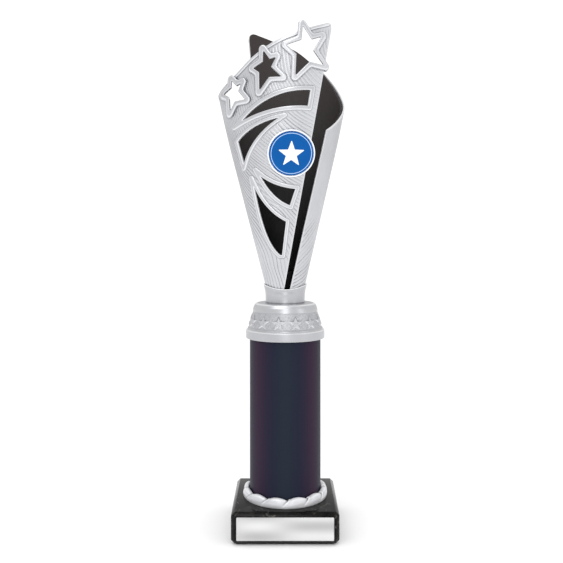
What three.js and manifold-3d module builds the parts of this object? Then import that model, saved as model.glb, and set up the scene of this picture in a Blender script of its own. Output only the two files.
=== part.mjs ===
// Column trophy: a square stone base with a name plate, a foil-wrapped tube held by one threaded rod,
// a plastic collar, and a cup rolled from one flared sheet with a slit, cut-outs and three star frames.
// Millimetres, +Z up, front towards -Y, origin at the centre of the underside.
import * as THREE from 'three';
import { mergeVertices } from 'three/addons/utils/BufferGeometryUtils.js';
import { ConvexGeometry } from 'three/addons/geometries/ConvexGeometry.js';
import Module from 'manifold-3d';

const wasm = await Module();
wasm.setup();

// ---------------------------------------------------------------- driving dimensions
const CONTACT_GAP = 0.3;

const base = { width: 65, bottom: 0.5, top: 19.5, chamfer: 2.1, boreRadius: 3.5, pocketRadius: 11, pocketTop: 9.5 };
const felt = { width: 60, cornerRadius: 2 };
const plate = { width: 58.3, height: 13.9, bottom: 3, thickness: 0.5, tape: 0.15, cornerRadius: 0.6 };
const rod = { radius: 3, bottom: 2, top: 161, tip: 0.6 };
const nut = { acrossFlats: 10, height: 5, bore: rod.radius + CONTACT_GAP };
const baseWasher = { radius: 9, thickness: 1.6 };
const footWasher = { radius: 6.2, thickness: 1.2 };

const tube = { outerRadius: 22.4, innerRadius: 20, top: 124.7 };
const film = { thickness: 0.2, top: 124.6 };
const tubeDisc = { radius: 19.7, height: 6, boreRadius: 3.4 };

// A ring of twisted strands. The pinch between two strands leans as it climbs from the base.
const ring = {
  innerRadius: 22.9, middleRadius: 24.9, middleHeight: 2.6, halfWidth: 2.1, halfHeight: 3.4,
  strands: 12, stepsPerStrand: 6, sectionSteps: 14, pinch: 0.42, lean: 0.17, phase: -2.6,
};

// Profiles are lists of [radius, height], upwards on the outside and downwards on the inside.
const collar = {
  outside: [[24.5, 119.8], [25, 120.3], [25, 124.1], [24.4, 125.6], [23.2, 127.7], [22.5, 130.7],
    [20.9, 137.4], [19.3, 140.6], [17.3, 142.1]],
  inside: [[17, 138], [21, 127.7], [21.2, 125], [22.85, 125], [22.85, 119.8]],
  top: 142.1, boreRadius: 3.4, boreBottom: 138,
  band: { bottom: 127.7, bottomRadius: 23.2, top: 137.4, topRadius: 20.9 },
  stars: 15, starSize: 4, starNotch: 1.8, starPhase: 15, starProud: 0.45,
};

const socket = {
  outside: [[12.45, 142.1], [12.55, 146.7], [12.7, 148.6], [13.2, 151.1], [13.9, 154]],
  inside: [[13.2, 154], [11.7, 146.5]],
  rimTop: 154, rimDip: 2.8, rimRadius: 13.9, floor: 146.5, boreRadius: 3.4,
};

// The cup is one sheet rolled once round: its radius grows a little all the way round the turn.
const cup = {
  bottom: 146.9, top: 330, datum: 156, datumRadius: 13.4,
  slopeRight: 0.2313, slopeLeft: 0.2587, easeFrom: 75, easeLength: 370,
  shellThickness: 1.2, linerThickness: 1.2, linerEnd: 262, linerInset: 0.5, linerDrop: 1,
  seamBottom: 6, seamTop: 42, seamTopHeight: 250, aroundSteps: 60, upSteps: 8,
};
// The slit between the front panel's straight edge and the lip of the right-hand wrap, in the front elevation.
const slit = { bottom: cup.bottom - 1, top: 249, edgeBottom: -1.5, edgeTop: 27.1, lipBottom: 1.7, lipTop: 25.4 };
const mouth = { left: -42.5, leftHeight: 272, right: 37.6, rightHeight: 267, cornerHeight: 305 };
const star = { frameWidth: 2.6, tipRadius: 1.6, proud: 2.1, sunk: 0.8, firstTurn: 270, lastTurn: 410 };
const foot = { bottomRadius: 7.6, topRadius: 11.4, top: 162.5, pocketRadius: 6.5, pocketFloor: 153.2 };
const seat = { x: 3.4, height: 233.8, radius: 10, proud: 0.3, depth: 3.2 };
const bezel = { radius: 14.15, thickness: 2.4, recessRadius: 13.3, recessFloor: 1.1 };
const disc = { radius: 13.1, thickness: 0.9 };

const REACH = 80; // longer than the cup is wide, for the cutting prisms
const LINER_SHRINK = 1 - (cup.shellThickness + CONTACT_GAP) / mouth.right;
const DEGREE = Math.PI / 180;

// ---------------------------------------------------------------- solids: joining and cutting
function toSolid(geometry) {
  const bare = geometry.clone();
  bare.deleteAttribute('normal');
  bare.deleteAttribute('uv');
  const merged = mergeVertices(bare, 1e-4);
  return new wasm.Manifold(new wasm.Mesh({
    numProp: 3,
    vertProperties: new Float32Array(merged.attributes.position.array),
    triVerts: new Uint32Array(merged.index.array),
  }));
}

function toGeometry(solid) {
  const mesh = solid.getMesh();
  const geometry = new THREE.BufferGeometry();
  geometry.setAttribute('position', new THREE.BufferAttribute(new Float32Array(mesh.vertProperties), 3));
  geometry.setIndex(new THREE.BufferAttribute(new Uint32Array(mesh.triVerts), 1));
  geometry.computeVertexNormals();
  return geometry;
}

function cut(solid, ...tools) {
  return tools.reduce((rest, tool) => rest.subtract(tool), solid);
}

function join(...solids) {
  return solids.reduce((whole, solid) => whole.add(solid));
}

// ---------------------------------------------------------------- shapes
function outline(points) {
  return new THREE.Shape(points.map(([x, y]) => new THREE.Vector2(x, y)));
}

function circleHole(radius) {
  return new THREE.Path().absarc(0, 0, radius, 0, 2 * Math.PI, true);
}

function roundedRectangle(width, height, radius) {
  const x = width / 2 - radius;
  const y = height / 2 - radius;
  const shape = new THREE.Shape();
  shape.absarc(x, -y, radius, -Math.PI / 2, 0);
  shape.absarc(x, y, radius, 0, Math.PI / 2);
  shape.absarc(-x, y, radius, Math.PI / 2, Math.PI);
  shape.absarc(-x, -y, radius, Math.PI, 1.5 * Math.PI);
  return shape;
}

function starPoints(outerRadius, innerRadius) {
  return Array.from({ length: 10 }, (_, i) => {
    const angle = (90 + 36 * i) * DEGREE;
    const radius = i % 2 ? innerRadius : outerRadius;
    return [radius * Math.cos(angle), radius * Math.sin(angle)];
  });
}

// A plate of the given outline lying in the horizontal plane, from z = bottom upwards.
function slab(shape, bottom, height, curveSegments = 8) {
  const geometry = new THREE.ExtrudeGeometry(shape, { depth: height, bevelEnabled: false, curveSegments });
  return geometry.translate(0, 0, bottom);
}

// A prism whose outline is drawn in the front elevation (x across, z up) and which runs from y = near to far.
function frontPrism(shape, near, far, curveSegments = 8) {
  const geometry = new THREE.ExtrudeGeometry(shape, { depth: far - near, bevelEnabled: false, curveSegments });
  return geometry.rotateX(Math.PI / 2).translate(0, far, 0);
}

function turned(profile, segments) {
  const points = profile.map(([radius, height]) => new THREE.Vector2(radius, height));
  return new THREE.LatheGeometry(points, segments).rotateX(Math.PI / 2);
}

function washerBody(radius, boreRadius, bottom, thickness, segments = 32) {
  const top = bottom + thickness;
  return turned([[boreRadius, bottom], [radius, bottom], [radius, top], [boreRadius, top], [boreRadius, bottom]],
    segments);
}

function hexNutBody(bottom) {
  const corner = nut.acrossFlats / Math.sqrt(3);
  const hexagon = outline(Array.from({ length: 6 }, (_, i) => {
    return [corner * Math.cos(60 * i * DEGREE), corner * Math.sin(60 * i * DEGREE)];
  }));
  hexagon.holes.push(circleHole(nut.bore));
  return slab(hexagon, bottom, nut.height, 12);
}

// ---------------------------------------------------------------- the rolled cup surface
// Turn angle: 0 at the front, 90 at the right, 180 at the back, 270 at the left, 360 at the front again.
function cupRadius(turn, z) {
  const height = z - cup.datum;
  const past = Math.max(0, height - cup.easeFrom);
  const eased = height - (past * past) / cup.easeLength;
  const slope = cup.slopeRight + ((cup.slopeLeft - cup.slopeRight) * (turn - 90)) / 180;
  return cup.datumRadius + slope * eased;
}

function seamTurn(z) {
  const t = Math.min(1, (z - cup.bottom) / (cup.seamTopHeight - cup.bottom));
  return cup.seamBottom + (cup.seamTop - cup.seamBottom) * t;
}

// A box with a fine grid, bent round the cup: x runs round the turn, y through the wall, z up. With no first
// turn it starts at the seam, and with no last turn it comes round to the seam again.
function rolledWall(innerOffset, outerOffset, firstTurn = null, lastTurn = null) {
  const span = (lastTurn ?? cup.seamTop + 360) - (firstTurn ?? cup.seamTop);
  const steps = Math.round((cup.aroundSteps * span) / 360);
  const geometry = new THREE.BoxGeometry(1, 1, 1, steps, 1, cup.upSteps);
  const position = geometry.attributes.position;
  for (let i = 0; i < position.count; i++) {
    const along = position.getX(i) + 0.5;
    const through = position.getY(i) + 0.5;
    const up = position.getZ(i) + 0.5;
    const z = cup.bottom + (cup.top - cup.bottom) * up;
    const first = firstTurn ?? seamTurn(z);
    const last = lastTurn ?? seamTurn(z) + 360;
    const turn = first + (last - first) * along;
    const radius = cupRadius(turn, z) + outerOffset + (innerOffset - outerOffset) * through;
    position.setXYZ(i, radius * Math.sin(turn * DEGREE), -radius * Math.cos(turn * DEGREE), z);
  }
  return geometry;
}

// ---------------------------------------------------------------- outlines in the front elevation
// Everything above this line is open at the front: it follows the panel's top edge, comes down the panel's
// straight edge, up the slit's other side, and out along the curl of the right-hand wrap.
function frontOpening() {
  const shape = new THREE.Shape();
  shape.moveTo(-REACH, cup.top + 10);
  shape.lineTo(-REACH, mouth.leftHeight);
  shape.lineTo(mouth.left, mouth.leftHeight);
  shape.splineThru([[-30, 280], [-19.5, 288.5], [-7.5, 296], [7, 302], [24.5, 308]].map(
    ([x, z]) => new THREE.Vector2(x, z)));
  shape.quadraticCurveTo(27.6, 309, slit.edgeTop, mouth.cornerHeight);
  shape.lineTo(slit.edgeBottom, slit.bottom);
  shape.lineTo(slit.lipBottom, slit.bottom);
  shape.lineTo(slit.lipTop, slit.top);
  shape.bezierCurveTo(31, 252.5, 37.2, 258, mouth.right, mouth.rightHeight);
  shape.lineTo(REACH, mouth.rightHeight);
  shape.lineTo(REACH, cup.top + 10);
  return shape;
}

// The same at the back: a valley behind the left star, a steep peak, and a long slope down to the right,
// which ends a little lower by the given drop.
function backOpening(drop = 0) {
  const shape = new THREE.Shape();
  shape.moveTo(-REACH, cup.top + 10);
  shape.lineTo(-REACH, mouth.leftHeight);
  shape.lineTo(mouth.left, mouth.leftHeight);
  shape.bezierCurveTo(-39, 261.5, -31.5, 260, -27.5, 270);
  shape.bezierCurveTo(-23.5, 280, -23.5, 300, -25.8, 320);
  shape.quadraticCurveTo(-26, 326, -20.5, 324.2);
  shape.splineThru([[-9, 320.5], [9, 312.5], [26.5, 296], [35, 280]].map(([x, z]) => new THREE.Vector2(x, z)));
  shape.quadraticCurveTo(37.8, 273, mouth.right, mouth.rightHeight - drop);
  shape.lineTo(REACH, mouth.rightHeight - drop);
  shape.lineTo(REACH, cup.top + 10);
  return shape;
}

// The four curved cut-outs in the front panel.
function panelCutouts() {
  const upperCrescent = new THREE.Shape();
  upperCrescent.moveTo(-25.2, 253.8);
  upperCrescent.quadraticCurveTo(-9, 269.5, 14.7, 269.7);
  upperCrescent.lineTo(13.2, 260.9);
  upperCrescent.quadraticCurveTo(-6, 261.4, -25.2, 253.8);

  const sideBlade = new THREE.Shape();
  sideBlade.moveTo(-28.7, 241.8);
  sideBlade.quadraticCurveTo(-20, 250.5, -4.2, 253.7);
  sideBlade.quadraticCurveTo(-20.5, 243.5, -25, 228.5);

  const lowerBlade = new THREE.Shape();
  lowerBlade.moveTo(-14.6, 220.4);
  lowerBlade.quadraticCurveTo(-6.5, 213.8, 5.9, 212.7);
  lowerBlade.lineTo(2.7, 203.2);
  lowerBlade.quadraticCurveTo(-7.5, 207, -14.6, 220.4);

  const longBlade = new THREE.Shape();
  longBlade.moveTo(-18.7, 214.2);
  longBlade.quadraticCurveTo(-11.5, 199, 0.4, 193.2);
  longBlade.lineTo(-2, 172.8);
  longBlade.lineTo(-2.9, 172.8);
  longBlade.bezierCurveTo(-11, 179.5, -15.2, 195, -18.7, 214.2);

  return [upperCrescent, sideBlade, lowerBlade, longBlade];
}

// The openings of the three star frames: tip, notch, tip, notch, anticlockwise from the top tip.
const STAR_OPENINGS = {
  left: [[-32, 277], [-32.4, 273], [-37.4, 270.6], [-33.7, 268.2], [-33.5, 260],
    [-30.3, 265], [-23.8, 265.3], [-28, 270.5], [-26, 274.6], [-29, 273.5]],
  middle: [[-12.6, 291.3], [-12.9, 285.1], [-18.5, 282], [-15.1, 279.6], [-15, 269.5],
    [-9.4, 276.7], [-2.3, 276.7], [-8.2, 282.2], [-5.5, 287.4], [-8.9, 286.4]],
  right: [[10, 304.7], [9.4, 297.1], [0.8, 294.1], [6.5, 289.3], [6, 277.5],
    [14, 285.2], [22.4, 283.9], [16.1, 291.6], [20.9, 299.5], [15.1, 297.6]],
};

// Moves every edge of an anticlockwise outline out by a distance. Its tips are rounded in a few steps, or
// stay sharp with none; its notches always stay sharp.
function grownOutline(points, distance, tipSteps) {
  const grown = [];
  points.forEach(([x, y], i) => {
    const [px, py] = points[(i + points.length - 1) % points.length];
    const [nx, ny] = points[(i + 1) % points.length];
    const before = Math.atan2(-(x - px), y - py);
    let after = Math.atan2(-(nx - x), ny - y);
    while (after < before - Math.PI) after += 2 * Math.PI;
    while (after > before + Math.PI) after -= 2 * Math.PI;
    if (after > before && tipSteps) {
      for (let k = 0; k <= tipSteps; k++) {
        const angle = before + ((after - before) * k) / tipSteps;
        grown.push([x + distance * Math.cos(angle), y + distance * Math.sin(angle)]);
      }
    } else {
      const middle = (before + after) / 2;
      const reach = distance / Math.cos((after - before) / 2);
      grown.push([x + reach * Math.cos(middle), y + reach * Math.sin(middle)]);
    }
  });
  return grown;
}

// ---------------------------------------------------------------- base
function baseFelt() {
  return slab(roundedRectangle(felt.width, felt.width, felt.cornerRadius), 0, base.bottom, 3);
}

// A block with every edge chamfered, a bore for the rod and a pocket underneath for its nut.
function baseBlock() {
  const half = base.width / 2;
  const inset = half - base.chamfer;
  const corners = [];
  for (const [x, y, inwards] of [[half, inset, base.chamfer], [inset, half, base.chamfer], [inset, inset, 0]]) {
    for (const sx of [-1, 1]) {
      for (const sy of [-1, 1]) {
        corners.push(new THREE.Vector3(sx * x, sy * y, base.bottom + inwards));
        corners.push(new THREE.Vector3(sx * x, sy * y, base.top - inwards));
      }
    }
  }
  const bore = washerBody(base.boreRadius, 0, -1, base.top + 2, 24);
  const pocket = washerBody(base.pocketRadius, 0, -1, base.pocketTop + 1, 40);
  return toGeometry(cut(toSolid(new ConvexGeometry(corners)), toSolid(bore), toSolid(pocket)));
}

// The plate and its tape stand on the front face, so they are drawn flat and then turned upright.
function uprightSheet(width, height, radius, near, thickness) {
  const middle = plate.bottom + plate.height / 2;
  const geometry = slab(roundedRectangle(width, height, radius), 0, thickness, 3);
  return geometry.rotateX(Math.PI / 2).translate(0, near + thickness, middle);
}

function nameTape() {
  return uprightSheet(plate.width - 2, plate.height - 2, plate.cornerRadius, -base.width / 2 - plate.tape, plate.tape);
}

function namePlate() {
  const near = -base.width / 2 - plate.tape - plate.thickness;
  return uprightSheet(plate.width, plate.height, plate.cornerRadius, near, plate.thickness);
}

// ---------------------------------------------------------------- rod, nuts and washers
function centreRod() {
  return turned([[0, rod.bottom], [rod.radius - rod.tip, rod.bottom], [rod.radius, rod.bottom + rod.tip],
    [rod.radius, rod.top - rod.tip], [rod.radius - rod.tip, rod.top], [0, rod.top]], 24);
}

// ---------------------------------------------------------------- tube
function columnTube() {
  return washerBody(tube.outerRadius, tube.innerRadius, base.top, tube.top - base.top, 48);
}

function columnFilm() {
  return washerBody(tube.outerRadius + film.thickness, tube.outerRadius, base.top, film.top - base.top, 48);
}

// A ring bent from a torus of radius 2 and section 1: its section is pinched in between the strands, most at
// the top and not at all underneath, and it is cut flat where it sits on the base and next to the tube.
function baseRing() {
  const geometry = new THREE.TorusGeometry(2, 1, ring.sectionSteps, ring.strands * ring.stepsPerStrand);
  const position = geometry.attributes.position;
  for (let i = 0; i < position.count; i++) {
    const turn = Math.atan2(position.getY(i), position.getX(i));
    const outwards = Math.hypot(position.getX(i), position.getY(i)) - 2;
    const upwards = position.getZ(i);
    const strand = (ring.strands * turn) / (2 * Math.PI) - ring.lean * upwards;
    const between = 1 - Math.abs(Math.sin(Math.PI * strand));
    const size = 1 - (ring.pinch * between * (1 + upwards)) / 2;
    const radius = ring.middleRadius + ring.halfWidth * size * outwards;
    const height = base.top + ring.middleHeight + ring.halfHeight * size * upwards;
    position.setXYZ(i, radius * Math.cos(turn), radius * Math.sin(turn), height);
  }
  geometry.rotateZ(ring.phase * DEGREE);
  const below = toSolid(washerBody(REACH, 0, base.top - 10, 10, 8));
  const inside = toSolid(washerBody(ring.innerRadius, 0, base.top - 10, 30, 48));
  return toGeometry(cut(toSolid(geometry), below, inside));
}

// ---------------------------------------------------------------- collar
function collarBody() {
  const k = collar;
  return turned([...k.outside, [k.boreRadius, k.top], [k.boreRadius, k.boreBottom], ...k.inside, k.outside[0]],
    3 * k.stars);
}

// The stars round the band are raised a little from its slope.
function collarWithStars() {
  const low = new THREE.Vector2(collar.band.bottomRadius, collar.band.bottom);
  const high = new THREE.Vector2(collar.band.topRadius, collar.band.top);
  const lean = Math.atan2(low.x - high.x, high.y - low.y);
  const middle = low.clone().add(high).multiplyScalar(0.5);
  const shape = outline(starPoints(collar.starSize, collar.starNotch));
  const stars = Array.from({ length: collar.stars }, (_, i) => {
    const geometry = slab(shape, -1, 1 + collar.starProud);
    geometry.rotateX(Math.PI / 2 - lean);
    geometry.translate(0, -middle.x, middle.y);
    geometry.rotateZ((collar.starPhase + (360 * i) / collar.stars) * DEGREE);
    return toSolid(geometry);
  });
  return toGeometry(join(toSolid(collarBody()), ...stars));
}

// ---------------------------------------------------------------- stem socket and what it holds
// A ferrule whose rim dips at the front and the back.
function stemSocket() {
  const k = socket;
  const body = turned([[k.boreRadius, collar.top], ...k.outside, ...k.inside, [k.boreRadius, k.floor],
    [k.boreRadius, collar.top]], 48);
  const side = new THREE.Shape();
  side.moveTo(-k.rimRadius, k.rimTop - k.rimDip);
  side.quadraticCurveTo(0, k.rimTop + k.rimDip, k.rimRadius, k.rimTop - k.rimDip);
  side.lineTo(k.rimRadius + 1, k.rimTop + 5);
  side.lineTo(-k.rimRadius - 1, k.rimTop + 5);
  const saddle = frontPrism(side, -20, 20, 16).rotateZ(Math.PI / 2);
  return toGeometry(cut(toSolid(body), toSolid(saddle)));
}

function coneFoot() {
  const k = foot;
  return turned([
    [socket.boreRadius, socket.floor], [k.bottomRadius, socket.floor], [k.topRadius, k.top],
    [k.pocketRadius, k.top], [k.pocketRadius, k.pocketFloor], [socket.boreRadius, k.pocketFloor],
    [socket.boreRadius, socket.floor],
  ], 40);
}

// ---------------------------------------------------------------- the rolled cup
// Places a solid drawn along +Z on the front of the cup, its +Z along the cup's outward normal there.
function ontoPanel(geometry) {
  const turn = 360 + Math.asin(seat.x / cupRadius(360, seat.height)) / DEGREE;
  const radius = cupRadius(turn, seat.height);
  const lean = Math.atan2(cupRadius(turn, seat.height + 1) - cupRadius(turn, seat.height - 1), 2);
  geometry.rotateX(Math.PI / 2 + lean);
  geometry.translate(0, -radius, seat.height);
  return geometry.rotateZ(turn * DEGREE);
}

function starFrame(opening) {
  const sharp = grownOutline(opening, star.frameWidth - star.tipRadius, 0);
  const prism = frontPrism(outline(grownOutline(sharp, star.tipRadius, 4)), -REACH, -1);
  const thick = toSolid(rolledWall(-star.sunk, star.proud, star.firstTurn, star.lastTurn));
  return thick.intersect(toSolid(prism));
}

function coneShell() {
  const wall = toSolid(rolledWall(-cup.shellThickness, 0));
  const openFront = toSolid(frontPrism(frontOpening(), -REACH, 0, 5));
  const openBack = toSolid(frontPrism(backOpening(), 0, REACH, 5));
  const cutouts = panelCutouts().map((shape) => toSolid(frontPrism(shape, -REACH, -1, 8)));
  const openings = Object.values(STAR_OPENINGS);
  const starHoles = openings.map((points) => toSolid(frontPrism(outline(points), -REACH, -1)));
  const pad = toSolid(ontoPanel(washerBody(seat.radius, 0, -seat.depth, seat.depth + seat.proud, 32)));
  const panel = cut(wall, openFront, openBack, ...cutouts);
  return toGeometry(cut(join(panel, pad, ...openings.map(starFrame)), ...starHoles));
}

// The dark lining of the back and right of the cup, a little lower than the sheet outside it at the curl.
function coneLiner() {
  const outside = -cup.shellThickness - CONTACT_GAP;
  const wall = toSolid(rolledWall(outside - cup.linerThickness, outside, null, cup.linerEnd));
  const front = frontPrism(frontOpening(), -REACH, 0, 5).translate(0, 0, -cup.linerDrop);
  const back = frontPrism(backOpening(cup.linerDrop), 0, REACH, 5);
  const mouths = [front, back].map((prism) => toSolid(prism.scale(LINER_SHRINK, 1, 1)));
  const gap = outline([[slit.edgeBottom, slit.bottom], [slit.lipBottom + cup.linerInset, slit.bottom],
    [slit.lipTop + cup.linerInset, slit.top], [0, slit.top]]);
  return toGeometry(cut(wall, ...mouths, toSolid(frontPrism(gap, -REACH, 0))));
}

// ---------------------------------------------------------------- centre insert
function insertBezel() {
  const k = bezel;
  return ontoPanel(turned([
    [0, 0], [k.radius - 0.4, 0], [k.radius, 0.4], [k.radius, k.thickness - 0.5], [k.radius - 0.4, k.thickness],
    [k.recessRadius + 0.1, k.thickness], [k.recessRadius, k.recessFloor], [0, k.recessFloor],
  ], 48).translate(0, 0, seat.proud));
}

function insertDisc() {
  return ontoPanel(washerBody(disc.radius, 0, seat.proud + bezel.recessFloor, disc.thickness, 48));
}

// ---------------------------------------------------------------- materials
const MATERIALS = {
  marble: { color: '#17181a', roughness: 0.22, metalness: 0 },
  felt: { color: '#1c1c1e', roughness: 0.95, metalness: 0 },
  plate: { color: '#d9dadc', roughness: 0.3, metalness: 0.9 },
  tape: { color: '#e8e6de', roughness: 0.7, metalness: 0 },
  steel: { color: '#9a9ca0', roughness: 0.35, metalness: 1 },
  tube: { color: '#2a2a2e', roughness: 0.6, metalness: 0 },
  film: { color: '#2b2840', roughness: 0.3, metalness: 0.6 },
  silver: { color: '#c3c3c7', roughness: 0.38, metalness: 0.75 },
  black: { color: '#141416', roughness: 0.25, metalness: 0 },
  white: { color: '#f1f3f6', roughness: 0.35, metalness: 0 },
  blue: { color: '#1c63b0', roughness: 0.3, metalness: 0 },
};

const group = new THREE.Group();

function place(name, geometry, materialName) {
  const mesh = new THREE.Mesh(geometry, new THREE.MeshStandardMaterial(MATERIALS[materialName]));
  mesh.name = name;
  group.add(mesh);
}

place('base_felt', baseFelt(), 'felt');
place('base_block', baseBlock(), 'marble');
place('name_tape', nameTape(), 'tape');
place('name_plate', namePlate(), 'plate');

const baseWasherBottom = base.pocketTop - baseWasher.thickness;
place('base_washer', washerBody(baseWasher.radius, nut.bore, baseWasherBottom, baseWasher.thickness), 'steel');
place('base_nut', hexNutBody(baseWasherBottom - nut.height), 'steel');
place('centre_rod', centreRod(), 'steel');

place('tube_disc', washerBody(tubeDisc.radius, tubeDisc.boreRadius, base.top, tubeDisc.height), 'black');
place('column_tube', columnTube(), 'tube');
place('column_film', columnFilm(), 'film');
place('base_ring', baseRing(), 'silver');
place('collar', collarWithStars(), 'silver');

place('stem_socket', stemSocket(), 'silver');
place('cone_foot', coneFoot(), 'black');
place('foot_washer', washerBody(footWasher.radius, nut.bore, foot.pocketFloor, footWasher.thickness), 'steel');
place('foot_nut', hexNutBody(foot.pocketFloor + footWasher.thickness), 'steel');
place('cone_liner', coneLiner(), 'black');
place('cone_shell', coneShell(), 'silver');

place('insert_bezel', insertBezel(), 'white');
place('insert_disc', insertDisc(), 'blue');

export default group;
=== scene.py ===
"""Looks of the column trophy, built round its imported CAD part.

Everything is in millimetres until a mesh is made: +Z up, front towards -Y, the same frame as the CAD part.
"""

import math

import bmesh
import bpy
import numpy as np
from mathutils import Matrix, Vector, kdtree
from mathutils.geometry import delaunay_2d_cdt


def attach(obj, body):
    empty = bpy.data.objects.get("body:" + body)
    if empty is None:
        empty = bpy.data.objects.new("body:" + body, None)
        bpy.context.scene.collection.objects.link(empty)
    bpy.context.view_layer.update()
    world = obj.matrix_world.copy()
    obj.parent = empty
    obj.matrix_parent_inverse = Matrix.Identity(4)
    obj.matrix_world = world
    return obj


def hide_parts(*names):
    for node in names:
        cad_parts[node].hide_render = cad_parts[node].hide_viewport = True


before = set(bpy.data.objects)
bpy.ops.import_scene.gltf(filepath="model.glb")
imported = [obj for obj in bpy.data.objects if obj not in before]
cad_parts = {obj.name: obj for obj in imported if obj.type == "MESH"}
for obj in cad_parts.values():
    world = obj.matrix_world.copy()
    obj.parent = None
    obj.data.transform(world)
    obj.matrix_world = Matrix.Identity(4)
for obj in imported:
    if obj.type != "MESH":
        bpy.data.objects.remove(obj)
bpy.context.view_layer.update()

MM = 0.001
FINE = 0.55  # spacing of the front panel's mesh between its details
COARSE = 0.85  # spacing of the rest of the cup

# ---------------------------------------------------------------- dimensions, as in the CAD part
CUP_BOTTOM, CUP_DATUM, CUP_DATUM_RADIUS = 146.9, 156.0, 13.4
SLOPE_RIGHT, SLOPE_LEFT, EASE_FROM, EASE_LENGTH = 0.2313, 0.2587, 75.0, 370.0
SHELL_THICKNESS, GAP, LINER_THICKNESS = 1.2, 0.3, 1.2
LINER_END_TURN, LINER_DROP, LINER_INSET = 262.0, 1.0, 0.5
MOUTH_RADIUS = 37.6
LINER_SHRINK = 1 - (SHELL_THICKNESS + GAP) / MOUTH_RADIUS
BASE_TOP, BASE_BOTTOM, BASE_WIDTH, BASE_CHAMFER = 19.5, 0.5, 65.0, 2.1

STAR_OPENINGS = {
    "left": [(-32, 277), (-32.4, 273), (-37.4, 270.6), (-33.7, 268.2), (-33.5, 260),
             (-30.3, 265), (-23.8, 265.3), (-28, 270.5), (-26, 274.6), (-29, 273.5)],
    "middle": [(-12.6, 291.3), (-12.9, 285.1), (-18.5, 282), (-15.1, 279.6), (-15, 269.5),
               (-9.4, 276.7), (-2.3, 276.7), (-8.2, 282.2), (-5.5, 287.4), (-8.9, 286.4)],
    "right": [(10, 304.7), (9.4, 297.1), (0.8, 294.1), (6.5, 289.3), (6, 277.5),
              (14, 285.2), (22.4, 283.9), (16.1, 291.6), (20.9, 299.5), (15.1, 297.6)],
}


# ---------------------------------------------------------------- lines drawn in the front elevation
def curve(points, steps):
    """A Bezier curve through its first and last of three or four points, without its first point."""
    p = np.array(points, float)
    t = (np.arange(steps) + 1)[:, None] / steps
    if len(p) == 3:
        return (1 - t) ** 2 * p[0] + 2 * t * (1 - t) * p[1] + t * t * p[2]
    s = 1 - t
    return s**3 * p[0] + 3 * s * s * t * p[1] + 3 * s * t * t * p[2] + t**3 * p[3]


def spline(points, steps):
    """A Catmull-Rom curve through all its points, without its first point."""
    p = np.array(points, float)
    rows = []
    for i in range(len(p) - 1):
        before, a, b, after = p[max(i - 1, 0)], p[i], p[i + 1], p[min(i + 2, len(p) - 1)]
        t = (np.arange(steps) + 1)[:, None] / steps
        ta, tb = (b - before) / 2, (after - a) / 2
        rows.append((2 * t**3 - 3 * t**2 + 1) * a + (t**3 - 2 * t**2 + t) * ta
                    + (3 * t**2 - 2 * t**3) * b + (t**3 - t**2) * tb)
    return np.vstack(rows)


def evenly(points, step, closed=True):
    """The same line with its long segments divided, every corner kept."""
    p = np.array(points, float)
    ends = np.vstack([p[1:], p[:1]]) if closed else p[1:]
    out = []
    for a, b in zip(p, ends):
        n = max(1, math.ceil(np.hypot(*(b - a)) / step))
        out += [a + (b - a) * k / n for k in range(n)]
    if not closed:
        out.append(p[-1])
    return np.array(out)


def unit(vector):
    return vector / max(np.hypot(*vector), 1e-9)


def turn_between(a, b):
    """The angle from one unit direction to another, anticlockwise."""
    return math.atan2(a[0] * b[1] - a[1] * b[0], float(a @ b))


def arc(centre, radius, start, turn, steps):
    angles = [start + turn * k / steps for k in range(steps + 1)]
    return [centre + radius * np.array([math.cos(a), math.sin(a)]) for a in angles]


def corner_at(before, corner, after):
    """Unit directions from a corner to its neighbours, half the angle between them, and the shorter side."""
    back, on = before - corner, after - corner
    half = math.acos(max(-1, min(1, float(unit(back) @ unit(on))))) / 2
    return unit(back), unit(on), half, min(np.hypot(*back), np.hypot(*on))


def rounded(points, radius_of):
    """A closed outline with its corners turned into arcs; radius_of is told if a corner points outwards."""
    p = np.array(points, float)
    out = []
    for i, corner in enumerate(p):
        back, on, half, side = corner_at(p[i - 1], corner, p[(i + 1) % len(p)])
        radius = radius_of(back[0] * on[1] - back[1] * on[0] < 0)
        reach = min(radius / math.tan(half), 0.45 * side)
        radius = reach * math.tan(half)
        if radius < 0.02 or half > 1.5:
            out.append(corner)
            continue
        centre = corner + unit(back + on) * radius / math.sin(half)
        start, end = corner + back * reach - centre, corner + on * reach - centre
        a0, a1 = math.atan2(start[1], start[0]), math.atan2(end[1], end[0])
        turn = (a1 - a0 + math.pi) % (2 * math.pi) - math.pi
        n = max(2, math.ceil(abs(turn) * radius / 0.35), math.ceil(abs(turn) / 0.4))
        out += arc(centre, radius, a0, turn, n)
    return np.array(out)


def mitred(points, distance):
    """An anticlockwise outline with every edge moved out by a distance, corners kept sharp."""
    p = np.array(points, float)
    out = []
    for i, corner in enumerate(p):
        a, b = unit(corner - p[i - 1]), unit(p[(i + 1) % len(p)] - corner)
        na, nb = np.array([a[1], -a[0]]), np.array([b[1], -b[0]])
        out.append(corner + (na + nb) * distance / (1 + float(na @ nb)))
    return np.array(out)


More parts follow.
